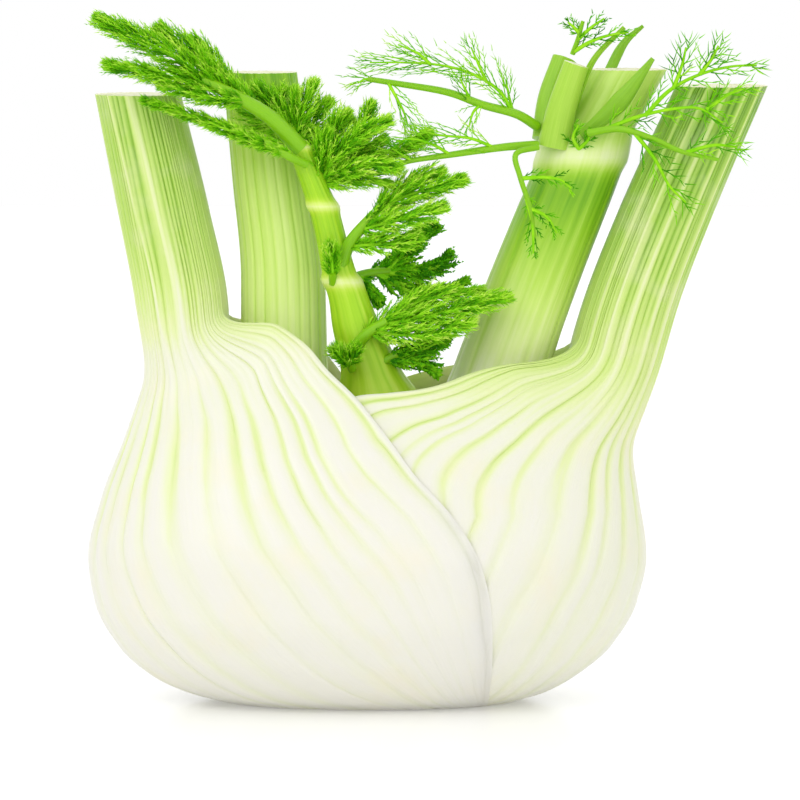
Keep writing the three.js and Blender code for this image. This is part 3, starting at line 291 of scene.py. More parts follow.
bulb_left, bulb_right = through(BULB_HEIGHTS, BULB_LEFT), through(BULB_HEIGHTS, BULB_RIGHT)
bulb_depth = through(BULB_HEIGHTS, BULB_DEPTH)
taper_at = through([0, 45, 60, 75], [1.6, 1.4, 1.1, 0.6])
edge_thickness = through([0, 20, 32, 45, 60], [0.06, 0.08, 0.2, 0.5, 1.1])
edge_step = through([0, 20, 32, 45, 60], np.array([0.02, 0.04, 0.12, 0.4, 1]) * SHEATH_STEP)
edge_gap = through([0, 25, 50], [0.02, 0.03, 0.1])
groove_number = through(GROOVES, [*range(len(GROOVES) - 1), len(GROOVES) - 1.5])


def bulb_spot(angle, height, inset):
    """A point of the bulb's skin: a squared ellipse across each height, drawn in by the inset."""
    left, right, depth = bulb_left(height), bulb_right(height), bulb_depth(height)
    cosine, sine = np.cos(angle), np.sin(angle)
    power = 2 / SQUARENESS
    half_width = (right - left) / 2 - inset
    half_depth = depth - np.minimum(inset, 0.6 * depth)
    return np.stack([
        (left + right) / 2 + half_width * np.sign(cosine) * np.abs(cosine) ** power,
        half_depth * np.sign(sine) * np.abs(sine) ** power,
        height + 0 * angle,
    ], axis=-1)


def bulb_angle(x, height, front):
    """The angle round the bulb of a place on its skin, from its X: the inverse of bulb_spot."""
    left, right = bulb_left(height), bulb_right(height)
    across = np.clip((2 * x - left - right) / (right - left), -1, 1)
    angle = np.arccos(np.sign(across) * np.abs(across) ** (SQUARENESS / 2))
    return TURN - angle if front else angle


def even_walk(angles, heights):
    """A line on the bulb's skin walked at an even pace, as functions of the share walked from its top."""
    places = bulb_spot(angles, heights, 0 * heights)
    walked = np.concatenate([[0], np.cumsum(np.linalg.norm(np.diff(places, axis=0), axis=1))])
    walked /= walked[-1]
    return (lambda share: np.interp(share, walked, angles)), (lambda share: np.interp(share, walked, heights))


class Sheath:
    """An outer leaf's curves: its two free edges, its own side of the bulb, its stalk and its thickness."""

    def __init__(self, table):
        self.table = table
        self.turn = table["turn"]
        self.front_side = math.pi if self.turn > 0 else TURN
        self.back_side = math.pi if self.turn > 0 else 0.0
        heights = np.linspace(table["neck"], 0, SIDE_POINTS)
        self.side_height = even_walk(np.full(SIDE_POINTS, self.front_side), heights)[1]
        self.front = self.edge(table["front_edge"], True)
        self.back = self.edge(table["back_edge"], False)
        self.outer, self.inner, self.half_depth = (
            through(table["stalk_heights"], table[key]) for key in ("outer", "inner", "half_depth"))
        self.thickness = through(table["thick_heights"], table["thickness"])
        self.sweep = through(*table["sweep"])

    def edge(self, points, front):
        """A free edge: its even walk from the top down, and its angle at a height."""
        rising = points[::-1]
        x_at = through([p[1] for p in rising], [p[0] for p in rising])
        line = rounded_path([(x, 0, z) for x, z in points], EDGE_POINTS)
        heights = np.maximum(line[:, 2], 0)
        walk = even_walk(bulb_angle(line[:, 0], heights, front), heights)
        return walk, lambda height: bulb_angle(x_at(height), height, front)

    def share_to_edge(self, angle, height, front):
        """How far along, from the leaf's own side to its free edge, an angle lies at a height."""
        at_front = np.abs(angle - self.front_side) / np.abs(self.front[1](height) - self.front_side)
        at_back = np.abs(angle - self.back_side) / np.abs(self.back[1](height) - self.back_side)
        return np.where(front, at_front, at_back)

    def thickness_at(self, angle, height, front):
        """The leaf's thickness: it falls from the middle's to the edge's with a power of the way there."""
        share = np.minimum(self.share_to_edge(angle, height, front), 1)
        middle = self.thickness(height)
        return middle + (edge_thickness(height) - middle) * share ** taper_at(height)


left_leaf, right_leaf = Sheath(LEFT_LEAF), Sheath(RIGHT_LEAF)


def surface_inset(leaf, angle, height, front):
    """How deep a leaf's skin lies: the first leaf stands proud along its edge, the second dips under it."""
    share = left_leaf.share_to_edge(angle, height, front)
    step = edge_step(height)
    if leaf is left_leaf:
        return -step * np.minimum(share, 1) ** 4
    under = left_leaf.thickness_at(angle, height, front) - step + edge_gap(height)
    fade = 1 - smoothstep((share - EDGE_FOOT) * STEP_FADE)
    beside = (edge_thickness(height) - step + edge_gap(height)) * fade
    return np.where(share <= EDGE_FOOT, under, beside)


# ---------------------------------------------------------------- meshes
def volume(points, faces):
    """The volume a closed mesh holds: a sixth of every triangle's triple product, summed."""
    a, b, c = (points[faces[:, k]] for k in range(3))
    return np.einsum("ij,ij->i", a, np.cross(b, c)).sum() / 6


def facing_out(points, faces):
    """The faces turned so that the closed mesh holds a positive volume."""
    return faces if volume(points, faces) > 0 else faces[:, ::-1]


def grid_faces(rows, columns, closed):
    """Two triangles for each cell of a grid of points, which wraps round in its columns where it is closed."""
    steps = columns if closed else columns - 1
    row, column = np.meshgrid(np.arange(rows - 1), np.arange(steps), indexing="ij")
    a = row * columns + column
    b = row * columns + (column + 1) % columns
    quads = np.stack([a, b, b + columns, a + columns], axis=-1).reshape(-1, 4)
    return np.vstack([quads[:, [0, 1, 2]], quads[:, [0, 2, 3]]])


def fan(start, count, hub):
    """Triangles from each side of a closed ring to one hub point."""
    i = np.arange(count)
    return np.stack([start + i, np.full(count, hub), start + (i + 1) % count], axis=1)


def placed(name, data):
    """A new object in the scene, at the origin."""
    thing = bpy.data.objects.new(name, data)
    bpy.context.scene.collection.objects.link(thing)
    return thing


def make_piece(name, part, material_list):
    """One object from a part: points in mm, triangles, fields, and the material number of each triangle."""
    points, faces, fields, numbers = part
    mesh = bpy.data.meshes.new(name)
    mesh.vertices.add(len(points))
    mesh.vertices.foreach_set("co", (points * MM).ravel())
    mesh.loops.add(faces.size)
    mesh.loops.foreach_set("vertex_index", faces.ravel().astype(np.int32))
    mesh.polygons.add(len(faces))
    mesh.polygons.foreach_set("loop_start", np.arange(0, faces.size, 3, dtype=np.int32))
    mesh.polygons.foreach_set("material_index", numbers.astype(np.int32))
    mesh.update(calc_edges=True)
    for key, values in fields.items():
        mesh.attributes.new(key, "FLOAT", "POINT").data.foreach_set("value", values.astype(np.float32))
    mesh.polygons.foreach_set("use_smooth", np.ones(len(faces), bool))
    mesh.set_sharp_from_angle(angle=SHARP_ANGLE)
    for material in material_list:
        mesh.materials.append(material)
    piece = placed(name, mesh)
    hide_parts(name)
    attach(piece, "root")


# How much a cut top leans to the front, how deep and fine its outline is frayed, and where its rings lie
CUT_LEAN, FRAY_DEPTH, FRAY_WAVES = 0.045, 0.09, 14
CUT_RINGS = [0.985, 0.93, 0.8, 0.6, 0.4, 0.2]


def tube_faces(rows, sides):
    """A closed grid's triangles and a fan at each end, whose hubs are the two points after the grid's own."""
    total = rows * sides
    return np.vstack([grid_faces(rows, sides, True), fan(0, sides, total),
                      fan(total - sides, sides, total + 1)[:, ::-1]])


def flat_top(ring, hub_drop, seed):
    """Rings from a cut end's outline in to its middle, which sinks a little, for a fleshy cut face. The cut
    leans to the front, and its outline is a little frayed where the fibres ended. Changes the outline too."""
    hub = ring.mean(axis=0)
    turn = round_turn(len(ring))
    fray = FRAY_DEPTH * waves(turn * FRAY_WAVES, seed) * np.sin(turn / 2)
    ring[:, 2] += CUT_LEAN * (ring[:, 1] - hub[1]) + fray
    shares = np.array(CUT_RINGS)[:, None, None]
    rings = hub + (ring - hub) * shares
    rings[..., 2] -= hub_drop * (1 - shares[..., 0]) ** 0.5
    return rings, hub - np.array([0, 0, hub_drop])


def topped(grid, faces, fields, seed, hub_drop, foot=False):
    """A part from a grid of rows and its triangles so far: a cut top in the second material closes its first
    row and, if asked, a fan its last one. The points past the grid take the first point's fields."""
    rings, hub = flat_top(grid[0], hub_drop, seed)
    columns = grid.shape[1]
    total = grid.shape[0] * columns
    hub_index = total + len(rings) * columns
    blocks, ends = [faces], [hub[None]]
    if foot:
        blocks.append(fan(total - columns, columns, hub_index + 1)[:, ::-1])
        ends.append(grid[-1].mean(axis=0)[None])
    cut_rows = grid_faces(len(rings) + 1, columns, True)
    cut_index = np.where(cut_rows < columns, cut_rows, cut_rows + total - columns)
    cut = np.vstack([cut_index[:, ::-1], fan(hub_index - columns, columns, hub_index)])
    points = np.vstack([grid.reshape(-1, 3), rings.reshape(-1, 3), *ends])
    faces = np.vstack([*blocks, cut])
    slots = np.concatenate([np.zeros(len(faces) - len(cut)), np.ones(len(cut))])
    extra = len(points) - total
    values = {key: np.concatenate([field.ravel(), np.full(extra, field.ravel()[0])])
              for key, field in fields.items()}
    return points, facing_out(points, faces), values, slots


# ---------------------------------------------------------------- sheathing leaves
# Points round the ribbed skin and back along the inner face, and rows down the stalk and the sheath
LEAF_COLUMNS, INNER_COLUMNS = 331, 56
STALK_ROW_COUNT, SHEATH_ROW_COUNT = 58, 122
# How late on its way a sheath's row bends to its free edge's height, and how small that edge's rounding is
ROW_BEND, RIM_FINENESS = 2.6, 60


def rib_relief(across, along, stalk_share, seed):
    """Ribs as arches: one minus the absolute sine is 1 in a groove and 0 on a rib's crown. A sheath has broad
    ribs, and a stalk has a second, finer set between them. Returns the depth in mm and how near a groove is."""
    place = groove_number(np.abs(2 * across - 1))
    wander = 0.15 * waves(place * 0.9 + np.sign(across - 0.5) * 2, seed)
    place = place + wander + 0.09 * waves(along / 60 + place, seed)
    broad = 1 - np.abs(np.sin(math.pi * place))
    fine = 1 - np.abs(np.sin(math.pi * 2 * place))
    strength = 1 + 0.45 * waves(across * 16, seed + 2) + 0.2 * waves(along / 26 + across * 20, seed + 3)
    sheath_depth = strength * (0.5 * broad ** 1.5 + 0.08 * broad ** 4)
    stalk_depth = 0.16 * broad ** 2 + 0.26 * strength * fine ** 2
    depth = sheath_depth + (stalk_depth - sheath_depth) * stalk_share
    soft = strength * (0.9 * broad ** 1.2 + 0.1 * broad ** 6)
    near = soft + (0.75 * fine ** 1.5 - soft) * stalk_share
    return depth, np.clip(near, 0, 1)


def sheath_skin(leaf, across, down, inward):
    """Angle, height and inset of a sheath's point: across runs from the back edge over the leaf's own side to
    the front edge, down from the neck to the root end. Towards the free edges it follows their own walks."""
    front = across >= 0.5
    reach = np.abs(2 * across - 1)
    edge_angle = np.where(front, leaf.front[0][0](down), leaf.back[0][0](down))
    edge_height = np.where(front, leaf.front[0][1](down), leaf.back[0][1](down))
    side = np.where(front, leaf.front_side, leaf.back_side)
    side_height = leaf.side_height(down)
    height = side_height + (edge_height - side_height) * reach ** ROW_BEND
    swept = reach + leaf.sweep(height) * reach * (1 - reach)
    angle = side + (edge_angle - side) * swept
    inset = surface_inset(leaf, angle, height, front)
    rim = 1 - np.clip((1 - reach) * RIM_FINENESS, 0, 1)
    rounding = 0.5 * edge_thickness(height) * (1 - np.sqrt(1 - 0.96 * rim ** 2))
    if inward:
        return angle, height, inset + leaf.thickness_at(angle, height, front) - rounding
    return angle, height, inset + rounding


def stalk_point(leaf, turned, height, shrink):
    """A point of the stalk's outline at a height: an ellipse, turned from the leaf's own side."""
    outer, inner = leaf.outer(height), leaf.inner(height)
    half_width = np.abs(outer - inner) / 2 - shrink
    angle = leaf.front_side + leaf.turn * turned
    return np.stack([
        (outer + inner) / 2 + half_width * np.cos(angle),
        (leaf.half_depth(height) - shrink) * np.sin(angle),
        height + 0 * angle,
    ], axis=-1)


def leaf_part(leaf, greenness, pale_ribs, seed):
    """A whole outer leaf as one closed grid: rows from the cut top down the stalk and the sheath, columns round
    the ribbed skin and back along the inner face. The stalk's ellipse turns into the sheath below the neck."""
    neck, top = leaf.table["neck"], leaf.table["top"]
    sheath_down = np.linspace(0, 1, SHEATH_ROW_COUNT)
    down = np.concatenate([np.zeros(STALK_ROW_COUNT), sheath_down])[:, None]
    above = np.linspace(top, neck, STALK_ROW_COUNT + 1)[:-1]
    height = np.concatenate([above, leaf.side_height(sheath_down)])[:, None]
    is_stalk = (np.arange(len(down)) < STALK_ROW_COUNT)[:, None]
    even = np.linspace(0, 1, LEAF_COLUMNS)
    across = (even - 0.5 * np.sin(TURN * even) / TURN)[None]
    back = np.linspace(1, 0, INNER_COLUMNS)[None]

    def mix(place):
        """How much of the sheath's place a point takes, below the neck. The edges turn into it first."""
        reach = np.abs(2 * place - 1)
        return np.where(is_stalk, 0, smoothstep(down / (0.36 * (1 - 0.8 * reach ** 2))))

    stalk_share = 1 - smoothstep(down, 0.0, 0.34) * (1 - is_stalk)
    depth, near = rib_relief(across, height, stalk_share, seed)
    gather = 1 - 0.85 * smoothstep(np.abs(2 * across - 1), 0.55, 1) * (1 - smoothstep(height, 6, 46))
    depth, near = depth * gather, near * gather
    proud = 0 * depth
    for place, width, drift, rise in pale_ribs:
        offset = (across - place - drift * (top - height)) / width
        proud = proud + rise * np.exp(-offset ** 2) * stalk_share
    depth = depth * (1 - np.clip(proud, 0, 1)) - 0.25 * proud
    lumps = 0.22 * waves(across * 9, seed) * waves(height / 14 + across * 5, seed + 5)
    angle, skin_height, inset = sheath_skin(leaf, across, down, False)
    sheath = bulb_spot(angle, skin_height, inset + depth + 0.15 + lumps * 0.6)
    stalk = stalk_point(leaf, (2 * across - 1) * STALK_WRAP, height, depth + 0.05)
    outer = stalk + (sheath - stalk) * mix(across)[..., None]

    angle, skin_height, inset = sheath_skin(leaf, back, down, True)
    sheath = bulb_spot(angle, skin_height, inset)
    turned = STALK_WRAP + (0.06 + 0.88 * (1 - back)) * 2 * (math.pi - STALK_WRAP)
    stalk = stalk_point(leaf, turned, height, 0.4)
    inner = stalk + (sheath - stalk) * mix(back)[..., None]

    rows, columns = len(down), LEAF_COLUMNS + INNER_COLUMNS
    grid = np.concatenate([outer, inner], axis=1)
    level = grid[..., 2]
    groove = np.concatenate([near, 0 * inner[..., 0]], axis=1)
    pale = np.concatenate([proud, 0 * inner[..., 0]], axis=1)
    share = np.concatenate([np.broadcast_to(stalk_share, near.shape), np.ones((rows, INNER_COLUMNS))], axis=1)
    lengthwise = np.concatenate([across, back], axis=1) + 0 * level
    away = smoothstep(np.abs(2 * lengthwise - 1), 0.2, 0.6) * (1 - share)
    hue = greenness(level) * (1 + 0.16 * waves(lengthwise * 24, seed + 1)) * (1 - 0.7 * away)
    hue = hue + (0.3 * share * smoothstep(level, 70, 98) + 0.22 * (1 - share) * smoothstep(level, 22, 66)
                 + 0.08 * (1 - share)) * groove
    hue = hue * (1 - 0.62 * np.clip(pale, 0, 1))
    fields = {"green": hue, "across": lengthwise, "along": level}

    # The bottom row closes on itself: triangles from its skin side and its inner side fill the thin gap between
    walls = grid_faces(rows, columns, True)
    last = (rows - 1) * columns
    i = np.arange(LEAF_COLUMNS - 1)
    step = (LEAF_COLUMNS - 1) // (INNER_COLUMNS - 1)
    partner = (i + step // 2) // step
    outer_cap = np.stack([last + i, last + columns - 1 - partner, last + i + 1], axis=1)
    k = np.arange(INNER_COLUMNS - 1)
    inner_cap = np.stack([last + columns - 1 - k, last + columns - 2 - k, last + (k + 1) * step - step // 2],
                         axis=1)
    return topped(grid, np.vstack([walls, outer_cap, inner_cap]), fields, seed, hub_drop=0.12)


def stack_part(rows, ribs, fineness, columns, row_step, greenness, seed, bands=()):
    """An inner leaf or the stem as one closed grid: rounded outlines carried up smooth curves through the given
    rows, with ribs as arches round each outline. Pale bands mark its joints."""
    table = np.array(rows, float)
    knots = table[:, 0]
    height = np.linspace(knots[-1], knots[0], int((knots[-1] - knots[0]) / row_step) + 1)[:, None]
    middle_x, middle_y, half_width, half_depth, rib = (through(knots, table[:, k])(height) for k in range(1, 6))
    angle = round_turn(columns)[None]
    place = angle + 0.05 * waves(angle * 3, seed) * np.sin(angle / 2)
    broad = 1 - np.abs(np.sin(ribs * place / 2))
    fine = 1 - np.abs(np.sin(ribs * place))
    strength = 1 + 0.35 * waves(np.sin(angle) * 5, seed) + 0 * height
    depth = rib * (0.45 * broad ** 2 + fineness * strength * fine ** 2)
    grid = np.stack([
        middle_x + (half_width - depth) * np.cos(angle),
        middle_y + (half_depth - depth) * np.sin(angle),
        height + 0 * angle,
    ], axis=-1)
    band = 0 * height
    for level, width in bands:
        band = np.maximum(band, np.exp(-((height - level) / width) ** 2))
    groove = np.clip(0.5 * broad ** 2 + 1.2 * fineness * fine ** 2, 0, 1) * np.clip(rib * 4, 0, 1)
    hue = greenness(height) * (1 + 0.2 * waves(np.cos(angle) * 4 + np.sin(angle) * 3, seed)) + 0.2 * groove
    hue = hue * (1 - 0.75 * band)
    fields = {"green": hue, "across": angle / TURN + 0 * hue, "along": height + 0 * hue}
    return topped(grid, grid_faces(len(height), columns, True), fields, seed, hub_drop=0.1, foot=True)


# ---------------------------------------------------------------- twigs and threads
def spot(place):
    """A point from the picture frame's column and row and its depth."""
    column, row, depth = place
    return ((column - MIDDLE_COLUMN) * PIXEL, depth, (GROUND_ROW - row) * PIXEL - depth * VIEW_RISE)


def unit(vectors):
    """The vectors divided by their own lengths."""
    return vectors / np.linalg.norm(vectors, axis=-1, keepdims=True)


def path_frame(path, count):
    """Points along a rounded path with the directions along it, across it and into the depth."""
    middle = rounded_path([spot(p) for p in path], count)
    along = unit(np.gradient(middle, axis=0))
    across = unit(np.cross(along, [0, 1, 0]))
    return middle, along, across, unit(np.cross(across, along))


TWIG_RIBS = 7


def limb(path, radii, sides, flat, hue, groove_depth=0.0, slot=0, end_slot=None):
    """A twig: a round or flattened outline carried along a path, its radius running through the given ones, its
    skin drawn in between shallow ribs, its two ends closed to a point in their middle."""
    middle, _, across, depthward = path_frame(path, TWIG_POINTS)
    radius = np.interp(np.linspace(0, 1, TWIG_POINTS), np.linspace(0, 1, len(radii)), radii)[:, None]
    angle = round_turn(sides)[None]
    radius = radius - groove_depth * (1 - np.abs(np.sin(TWIG_RIBS / 2 * angle))) ** 2
    grid = (middle[:, None] + across[:, None] * (radius * np.cos(angle))[..., None]
            + depthward[:, None] * (radius * flat * np.sin(angle))[..., None])
    points = np.vstack([grid.reshape(-1, 3), middle[:1], middle[-1:]])
    faces = tube_faces(TWIG_POINTS, sides)
    tone = np.full(len(points), hue)
    round_share = np.append(np.tile(angle[0] / TURN, TWIG_POINTS), [0, 0])
    values = {"green": tone, "across": round_share, "along": points[:, 2]}
    slots = np.full(len(faces), slot)
    if end_slot is not None:
        slots[-sides:] = end_slot
    return points, facing_out(points, faces), values, slots


# How much thinner a thread is at its tip and how much lighter it is painted there as a highlight, and a direction
# that no thread follows
THREAD_TAPER, TIP_HIGHLIGHT = 0.66, 0.22
OFF_WAY = np.array([0.31, 0.87, 0.38])


def threads(start, direction, bend, length, radius, tone, rings=3):
    """Slim three-sided threads that end in a point. At share t a thread's middle is start + length (t direction
    + t squared bend), and its radius has fallen by two thirds of t. One ring makes a plain cone."""
    count = len(start)
    shares = np.linspace(0, 1, rings + 1)
    t = shares[None, :-1, None]
    middle = start[:, None] + length[:, None, None] * (direction[:, None] * t + bend[:, None] * t ** 2)
    tangent = unit(direction[:, None] + 2 * bend[:, None] * t)
    side = unit(np.cross(tangent, OFF_WAY))
    up = np.cross(side, tangent)
    turn = np.array([0, TURN / 3, 2 * TURN / 3])[None, None, :, None]
    wide = (radius[:, None, None] * (1 - THREAD_TAPER * t))[:, :, None]
    ring = middle[:, :, None] + wide * (np.cos(turn) * side[:, :, None] + np.sin(turn) * up[:, :, None])
    tip = start[:, None] + length[:, None, None] * (direction + bend)[:, None]
    points = np.concatenate([ring.reshape(count, -1, 3), middle[:, :1], tip], axis=1)
    size = rings * 3 + 2
    faces = (tube_faces(rings, 3)[None] + (np.arange(count) * size)[:, None, None]).reshape(-1, 3)
    along = np.concatenate([np.repeat(shares[:-1], 3), [0, 1]])[None]
    # Each thread is painted lighter towards its tip: a painted highlight
    hue = (tone[:, None] + TIP_HIGHLIGHT * along).ravel()
    points = points.reshape(-1, 3)
    values = {"green": hue, "across": 0 * hue, "along": points[:, 2]}
    return points, facing_out(points, faces), values, np.zeros(len(faces))


def plume(path, spread, style, draw):
    """One feathery plume: twigs leave its axis all the way along, lean towards its tip and curve forward, and
    each carries leaflets that lean the same way. They are longest a third of the way up."""
    middle, along, across, depthward = path_frame(path, AXIS_POINTS)
    span = np.linalg.norm(np.diff(middle, axis=0), axis=1).sum()
    count = max(6, int(span / style["pitch"]))
    t = np.clip((np.arange(count) + draw.uniform(0, 1, count)) / count, 0, 0.999)
    at = (t * (AXIS_POINTS - 1)).astype(int)
    if style["open"]:
        around = math.pi * (np.arange(count) % 2) + draw.normal(0, 0.45, count)
    else:
        around = draw.uniform(0, TURN, count)
    outward = unit(across[at] * np.cos(around)[:, None]
                   + style["flat"] * depthward[at] * np.sin(around)[:, None])
    lean = style["lean"] * (1 - 0.55 * t ** 2) * draw.uniform(0.75, 1.2, count)
    swell = np.sin(math.pi * (0.2 + 0.66 * t)) ** 0.6 * (1 - style["taper"] * t)
    direction = unit(along[at] * np.cos(lean)[:, None] + outward * np.sin(lean)[:, None])
    length = style["reach"] * spread * swell * draw.uniform(0.7, 1.15, count) / np.sin(np.maximum(lean, 0.45))
    length = np.minimum(length, (span * (1 - t) + style["overshoot"]) * draw.uniform(0.85, 1.1, count))
    bend = 0.22 * along[at] - 0.16 * outward + draw.normal(0, 0.06, (count, 3))
    start = middle[at] + outward * 0.3
    tone = draw.normal(style["tone"], 0.12, count)
    parts = [threads(start, direction, bend, length, np.full(count, style["twig"]), tone, 4)]

    leaflets = style["leaflets"]
    owner = np.repeat(np.arange(count), leaflets)
    place = np.tile(np.linspace(0.16, 0.97, leaflets), count) + draw.uniform(-0.05, 0.05, count * leaflets)
    base = (start[owner] + length[owner, None]
            * (direction[owner] * place[:, None] + bend[owner] * place[:, None] ** 2))
    forward = unit(direction[owner] + 2 * bend[owner] * place[:, None])
    side = unit(np.cross(forward, depthward[at][owner]))
    around = math.pi * (np.arange(len(owner)) % 2) + draw.normal(0, style["scatter"], len(owner))
    sideways = side * np.cos(around)[:, None] + depthward[at][owner] * np.sin(around)[:, None]
    lean = draw.uniform(0.35, 0.8, len(owner)) * style["open_angle"]
    small = style["leaflet"] * draw.uniform(0.45, 1.3, len(owner)) * (1 - 0.4 * place)
    way = unit(forward * np.cos(lean)[:, None] + sideways * np.sin(lean)[:, None])
    curl = -0.14 * sideways + draw.normal(0, 0.05, (len(owner), 3))
    # Leaflets far out on a twig are painted lighter and those near the axis darker: painted highlight outside the
    # plume, painted shade inside it
    hue = tone[owner] + style["tip_highlight"] * (place - 0.5) + draw.normal(0.02, 0.09, len(owner))
    parts.append(threads(base, way, curl, small, np.full(len(owner), style["thread"]), hue, style["rings"]))
    return parts


# The kinds of plume. Lengths are mm. Open ones have their twigs on two sides by turns. The overshoot is how far
# twigs pass their axis's end, the rings are a leaflet's, and the taper is how much a plume narrows to its tip.
# The tip highlight is how far a twig's outer leaflets are painted lighter and its inner ones darker, as painted
# light and shade.
DENSE = {"pitch": 0.15, "open": False, "flat": 0.75, "lean": math.radians(42), "reach": 1.4, "twig": 0.15,
         "leaflets": 13, "leaflet": 2.1, "thread": 0.145, "scatter": 1.1, "open_angle": 1.0, "overshoot": 0.4,
         "rings": 1, "tone": 0.4, "tip_highlight": 0.6, "taper": 0.4}
LEAFY = {**DENSE, "pitch": 0.17, "leaflet": 1.5, "thread": 0.3, "twig": 0.3, "open_angle": 1.3, "tone": 0.14,
         "tip_highlight": 0.35}
OPEN = {"pitch": 1.15, "open": True, "flat": 1.0, "lean": math.radians(32), "reach": 2.1, "twig": 0.15,
        "leaflets": 6, "leaflet": 2.6, "thread": 0.12, "scatter": 0.6, "open_angle": 0.8, "overshoot": 2.2,
        "rings": 3, "tone": 0.5, "tip_highlight": 0.2, "taper": 0.2}
NEEDLED = {**OPEN, "pitch": 2.1, "lean": math.radians(46), "leaflet": 4.2, "leaflets": 5, "open_angle": 1.1,
           "tone": 0.3, "thread": 0.165, "twig": 0.19, "tip_highlight": 0.1, "overshoot": 1.5}
CURLED = {**NEEDLED, "pitch": 1.3, "leaflet": 1.7, "reach": 1.2, "tone": 0.14, "overshoot": 0.6}
STYLES = {"shoot_frond_rear": LEAFY, "shoot_frond_low": LEAFY, "spray_right": NEEDLED, "spray_hanging": CURLED,
          "spray_top": CURLED}


def joined(parts):
    """Several parts as one, their triangles' numbers moved past the points before them."""
    offsets = np.cumsum([0] + [len(p[0]) for p in parts[:-1]])
    return (np.vstack([p[0] for p in parts]), np.vstack([p[1] + o for p, o in zip(parts, offsets)]),
            {key: np.concatenate([p[2][key] for p in parts]) for key in parts[0][2]},
            np.concatenate([p[3] for p in parts]))


def frond_part(frond, style, seed):
    """A whole frond: its grooved stem, and its plumes each on an axis of its own."""
    stem, radii, plumes = frond
    draw = np.random.default_rng(seed)
    parts = [limb(stem, radii, sides=12, flat=1, hue=0.75, groove_depth=0.12, slot=1)]
    for path, spread in plumes:
        axis = style["twig"] * (2.2 if style["open"] else 2.8)
        parts.append(limb(path, (axis * 1.2, axis * 0.5), sides=6, flat=1, hue=0.6))
        parts += plume(path, spread, style, draw)
    return joined(parts)


# ---------------------------------------------------------------- materials
def linear(red, green, blue):
    """A colour given as it looks, 0 to 255, as the light it sends back."""
    c = np.array([red, green, blue]) / 255
    return (*np.where(c <= 0.04045, c / 12.92, ((c + 0.055) / 1.055) ** 2.4), 1.0)


class Wire:
    """One output in a material's tree. Sums and products of wires and numbers add Math nodes."""

    def __init__(self, tree, socket):
        self.tree, self.socket = tree, socket

    def math(self, operation, *values):
        return add_node(self.tree, "ShaderNodeMath", {"operation": operation}, dict(enumerate(values)))

    def __add__(self, other):
        return self.math("ADD", self, other)

    def __sub__(self, other):
        return self.math("SUBTRACT", self, other)

    def __rsub__(self, other):
        return self.math("SUBTRACT", other, self)

    def __mul__(self, other):
        return self.math("MULTIPLY", self, other)

    __radd__ = __add__
    __rmul__ = __mul__

    def clamped(self):
        """The same, held between 0 and 1."""
        return add_node(self.tree, "ShaderNodeClamp", {}, {"Value": self})


def add_node(tree, kind, settings, sockets, output=0):
    """A node of a kind, its settings first, then its sockets' values or links. Returns one of its outputs."""
    made = tree.nodes.new(kind)
    stops = settings.pop("stops", None)
    for key, value in settings.items():
        setattr(made, key, value)
    if stops:
        ramp = made.color_ramp
        while len(ramp.elements) < len(stops):
            ramp.elements.new(1.0)
        for element, (position, colour) in zip(ramp.elements, stops):
            element.position, element.color = position, colour
    for key, value in sockets.items():
        if isinstance(value, Wire):
            tree.links.new(value.socket, made.inputs[key])
        else:
            made.inputs[key].default_value = value
    return Wire(tree, made.outputs[output])


def field(tree, name):
    """The value of one of the mesh's own fields."""
    return add_node(tree, "ShaderNodeAttribute", {"attribute_name": name}, {}, "Fac")


def mixed(tree, factor, first, second):
    """Two colours mixed by a factor."""
    return add_node(tree, "ShaderNodeMix", {"data_type": "RGBA"}, {0: factor, 6: first, 7: second}, 2)


def new_material(name, constants):
    """A material with its tree and its main shader, some of whose inputs are set."""
    made = bpy.data.materials.new(name)
    made.use_nodes = True
    tree = made.node_tree
    shader = tree.nodes["Principled BSDF"]
    for key, value in constants.items():
        shader.inputs[key].default_value = value
    return made, tree, shader


def noise(tree, place, scale, detail):
    """Soft noise at a place, around a half."""
    return add_node(tree, "ShaderNodeTexNoise", {}, {"Vector": place, "Scale": scale, "Detail": detail})


def object_place(tree):
    """The place on the object, in metres."""
    return add_node(tree, "ShaderNodeTexCoord", {}, {}, "Object")


def wire_up(tree, shader, colour, roughness, relief, strength, distance):
    """Leads a colour, a roughness and a raised relief into a material's shader."""
    bump = add_node(tree, "ShaderNodeBump", {}, {"Strength": strength, "Distance": distance, "Height": relief})
    for key, wire in (("Base Color", colour), ("Roughness", roughness), ("Normal", bump)):
        tree.links.new(wire.socket, shader.inputs[key])


FLESH = {"IOR": 1.4, "Subsurface Weight": 0.2, "Subsurface Radius": (1.0, 1.0, 0.75), "Subsurface Scale": 0.0012}
BLUSH, DRIED, PORE = linear(236, 226, 202), linear(176, 160, 96), linear(150, 165, 90)


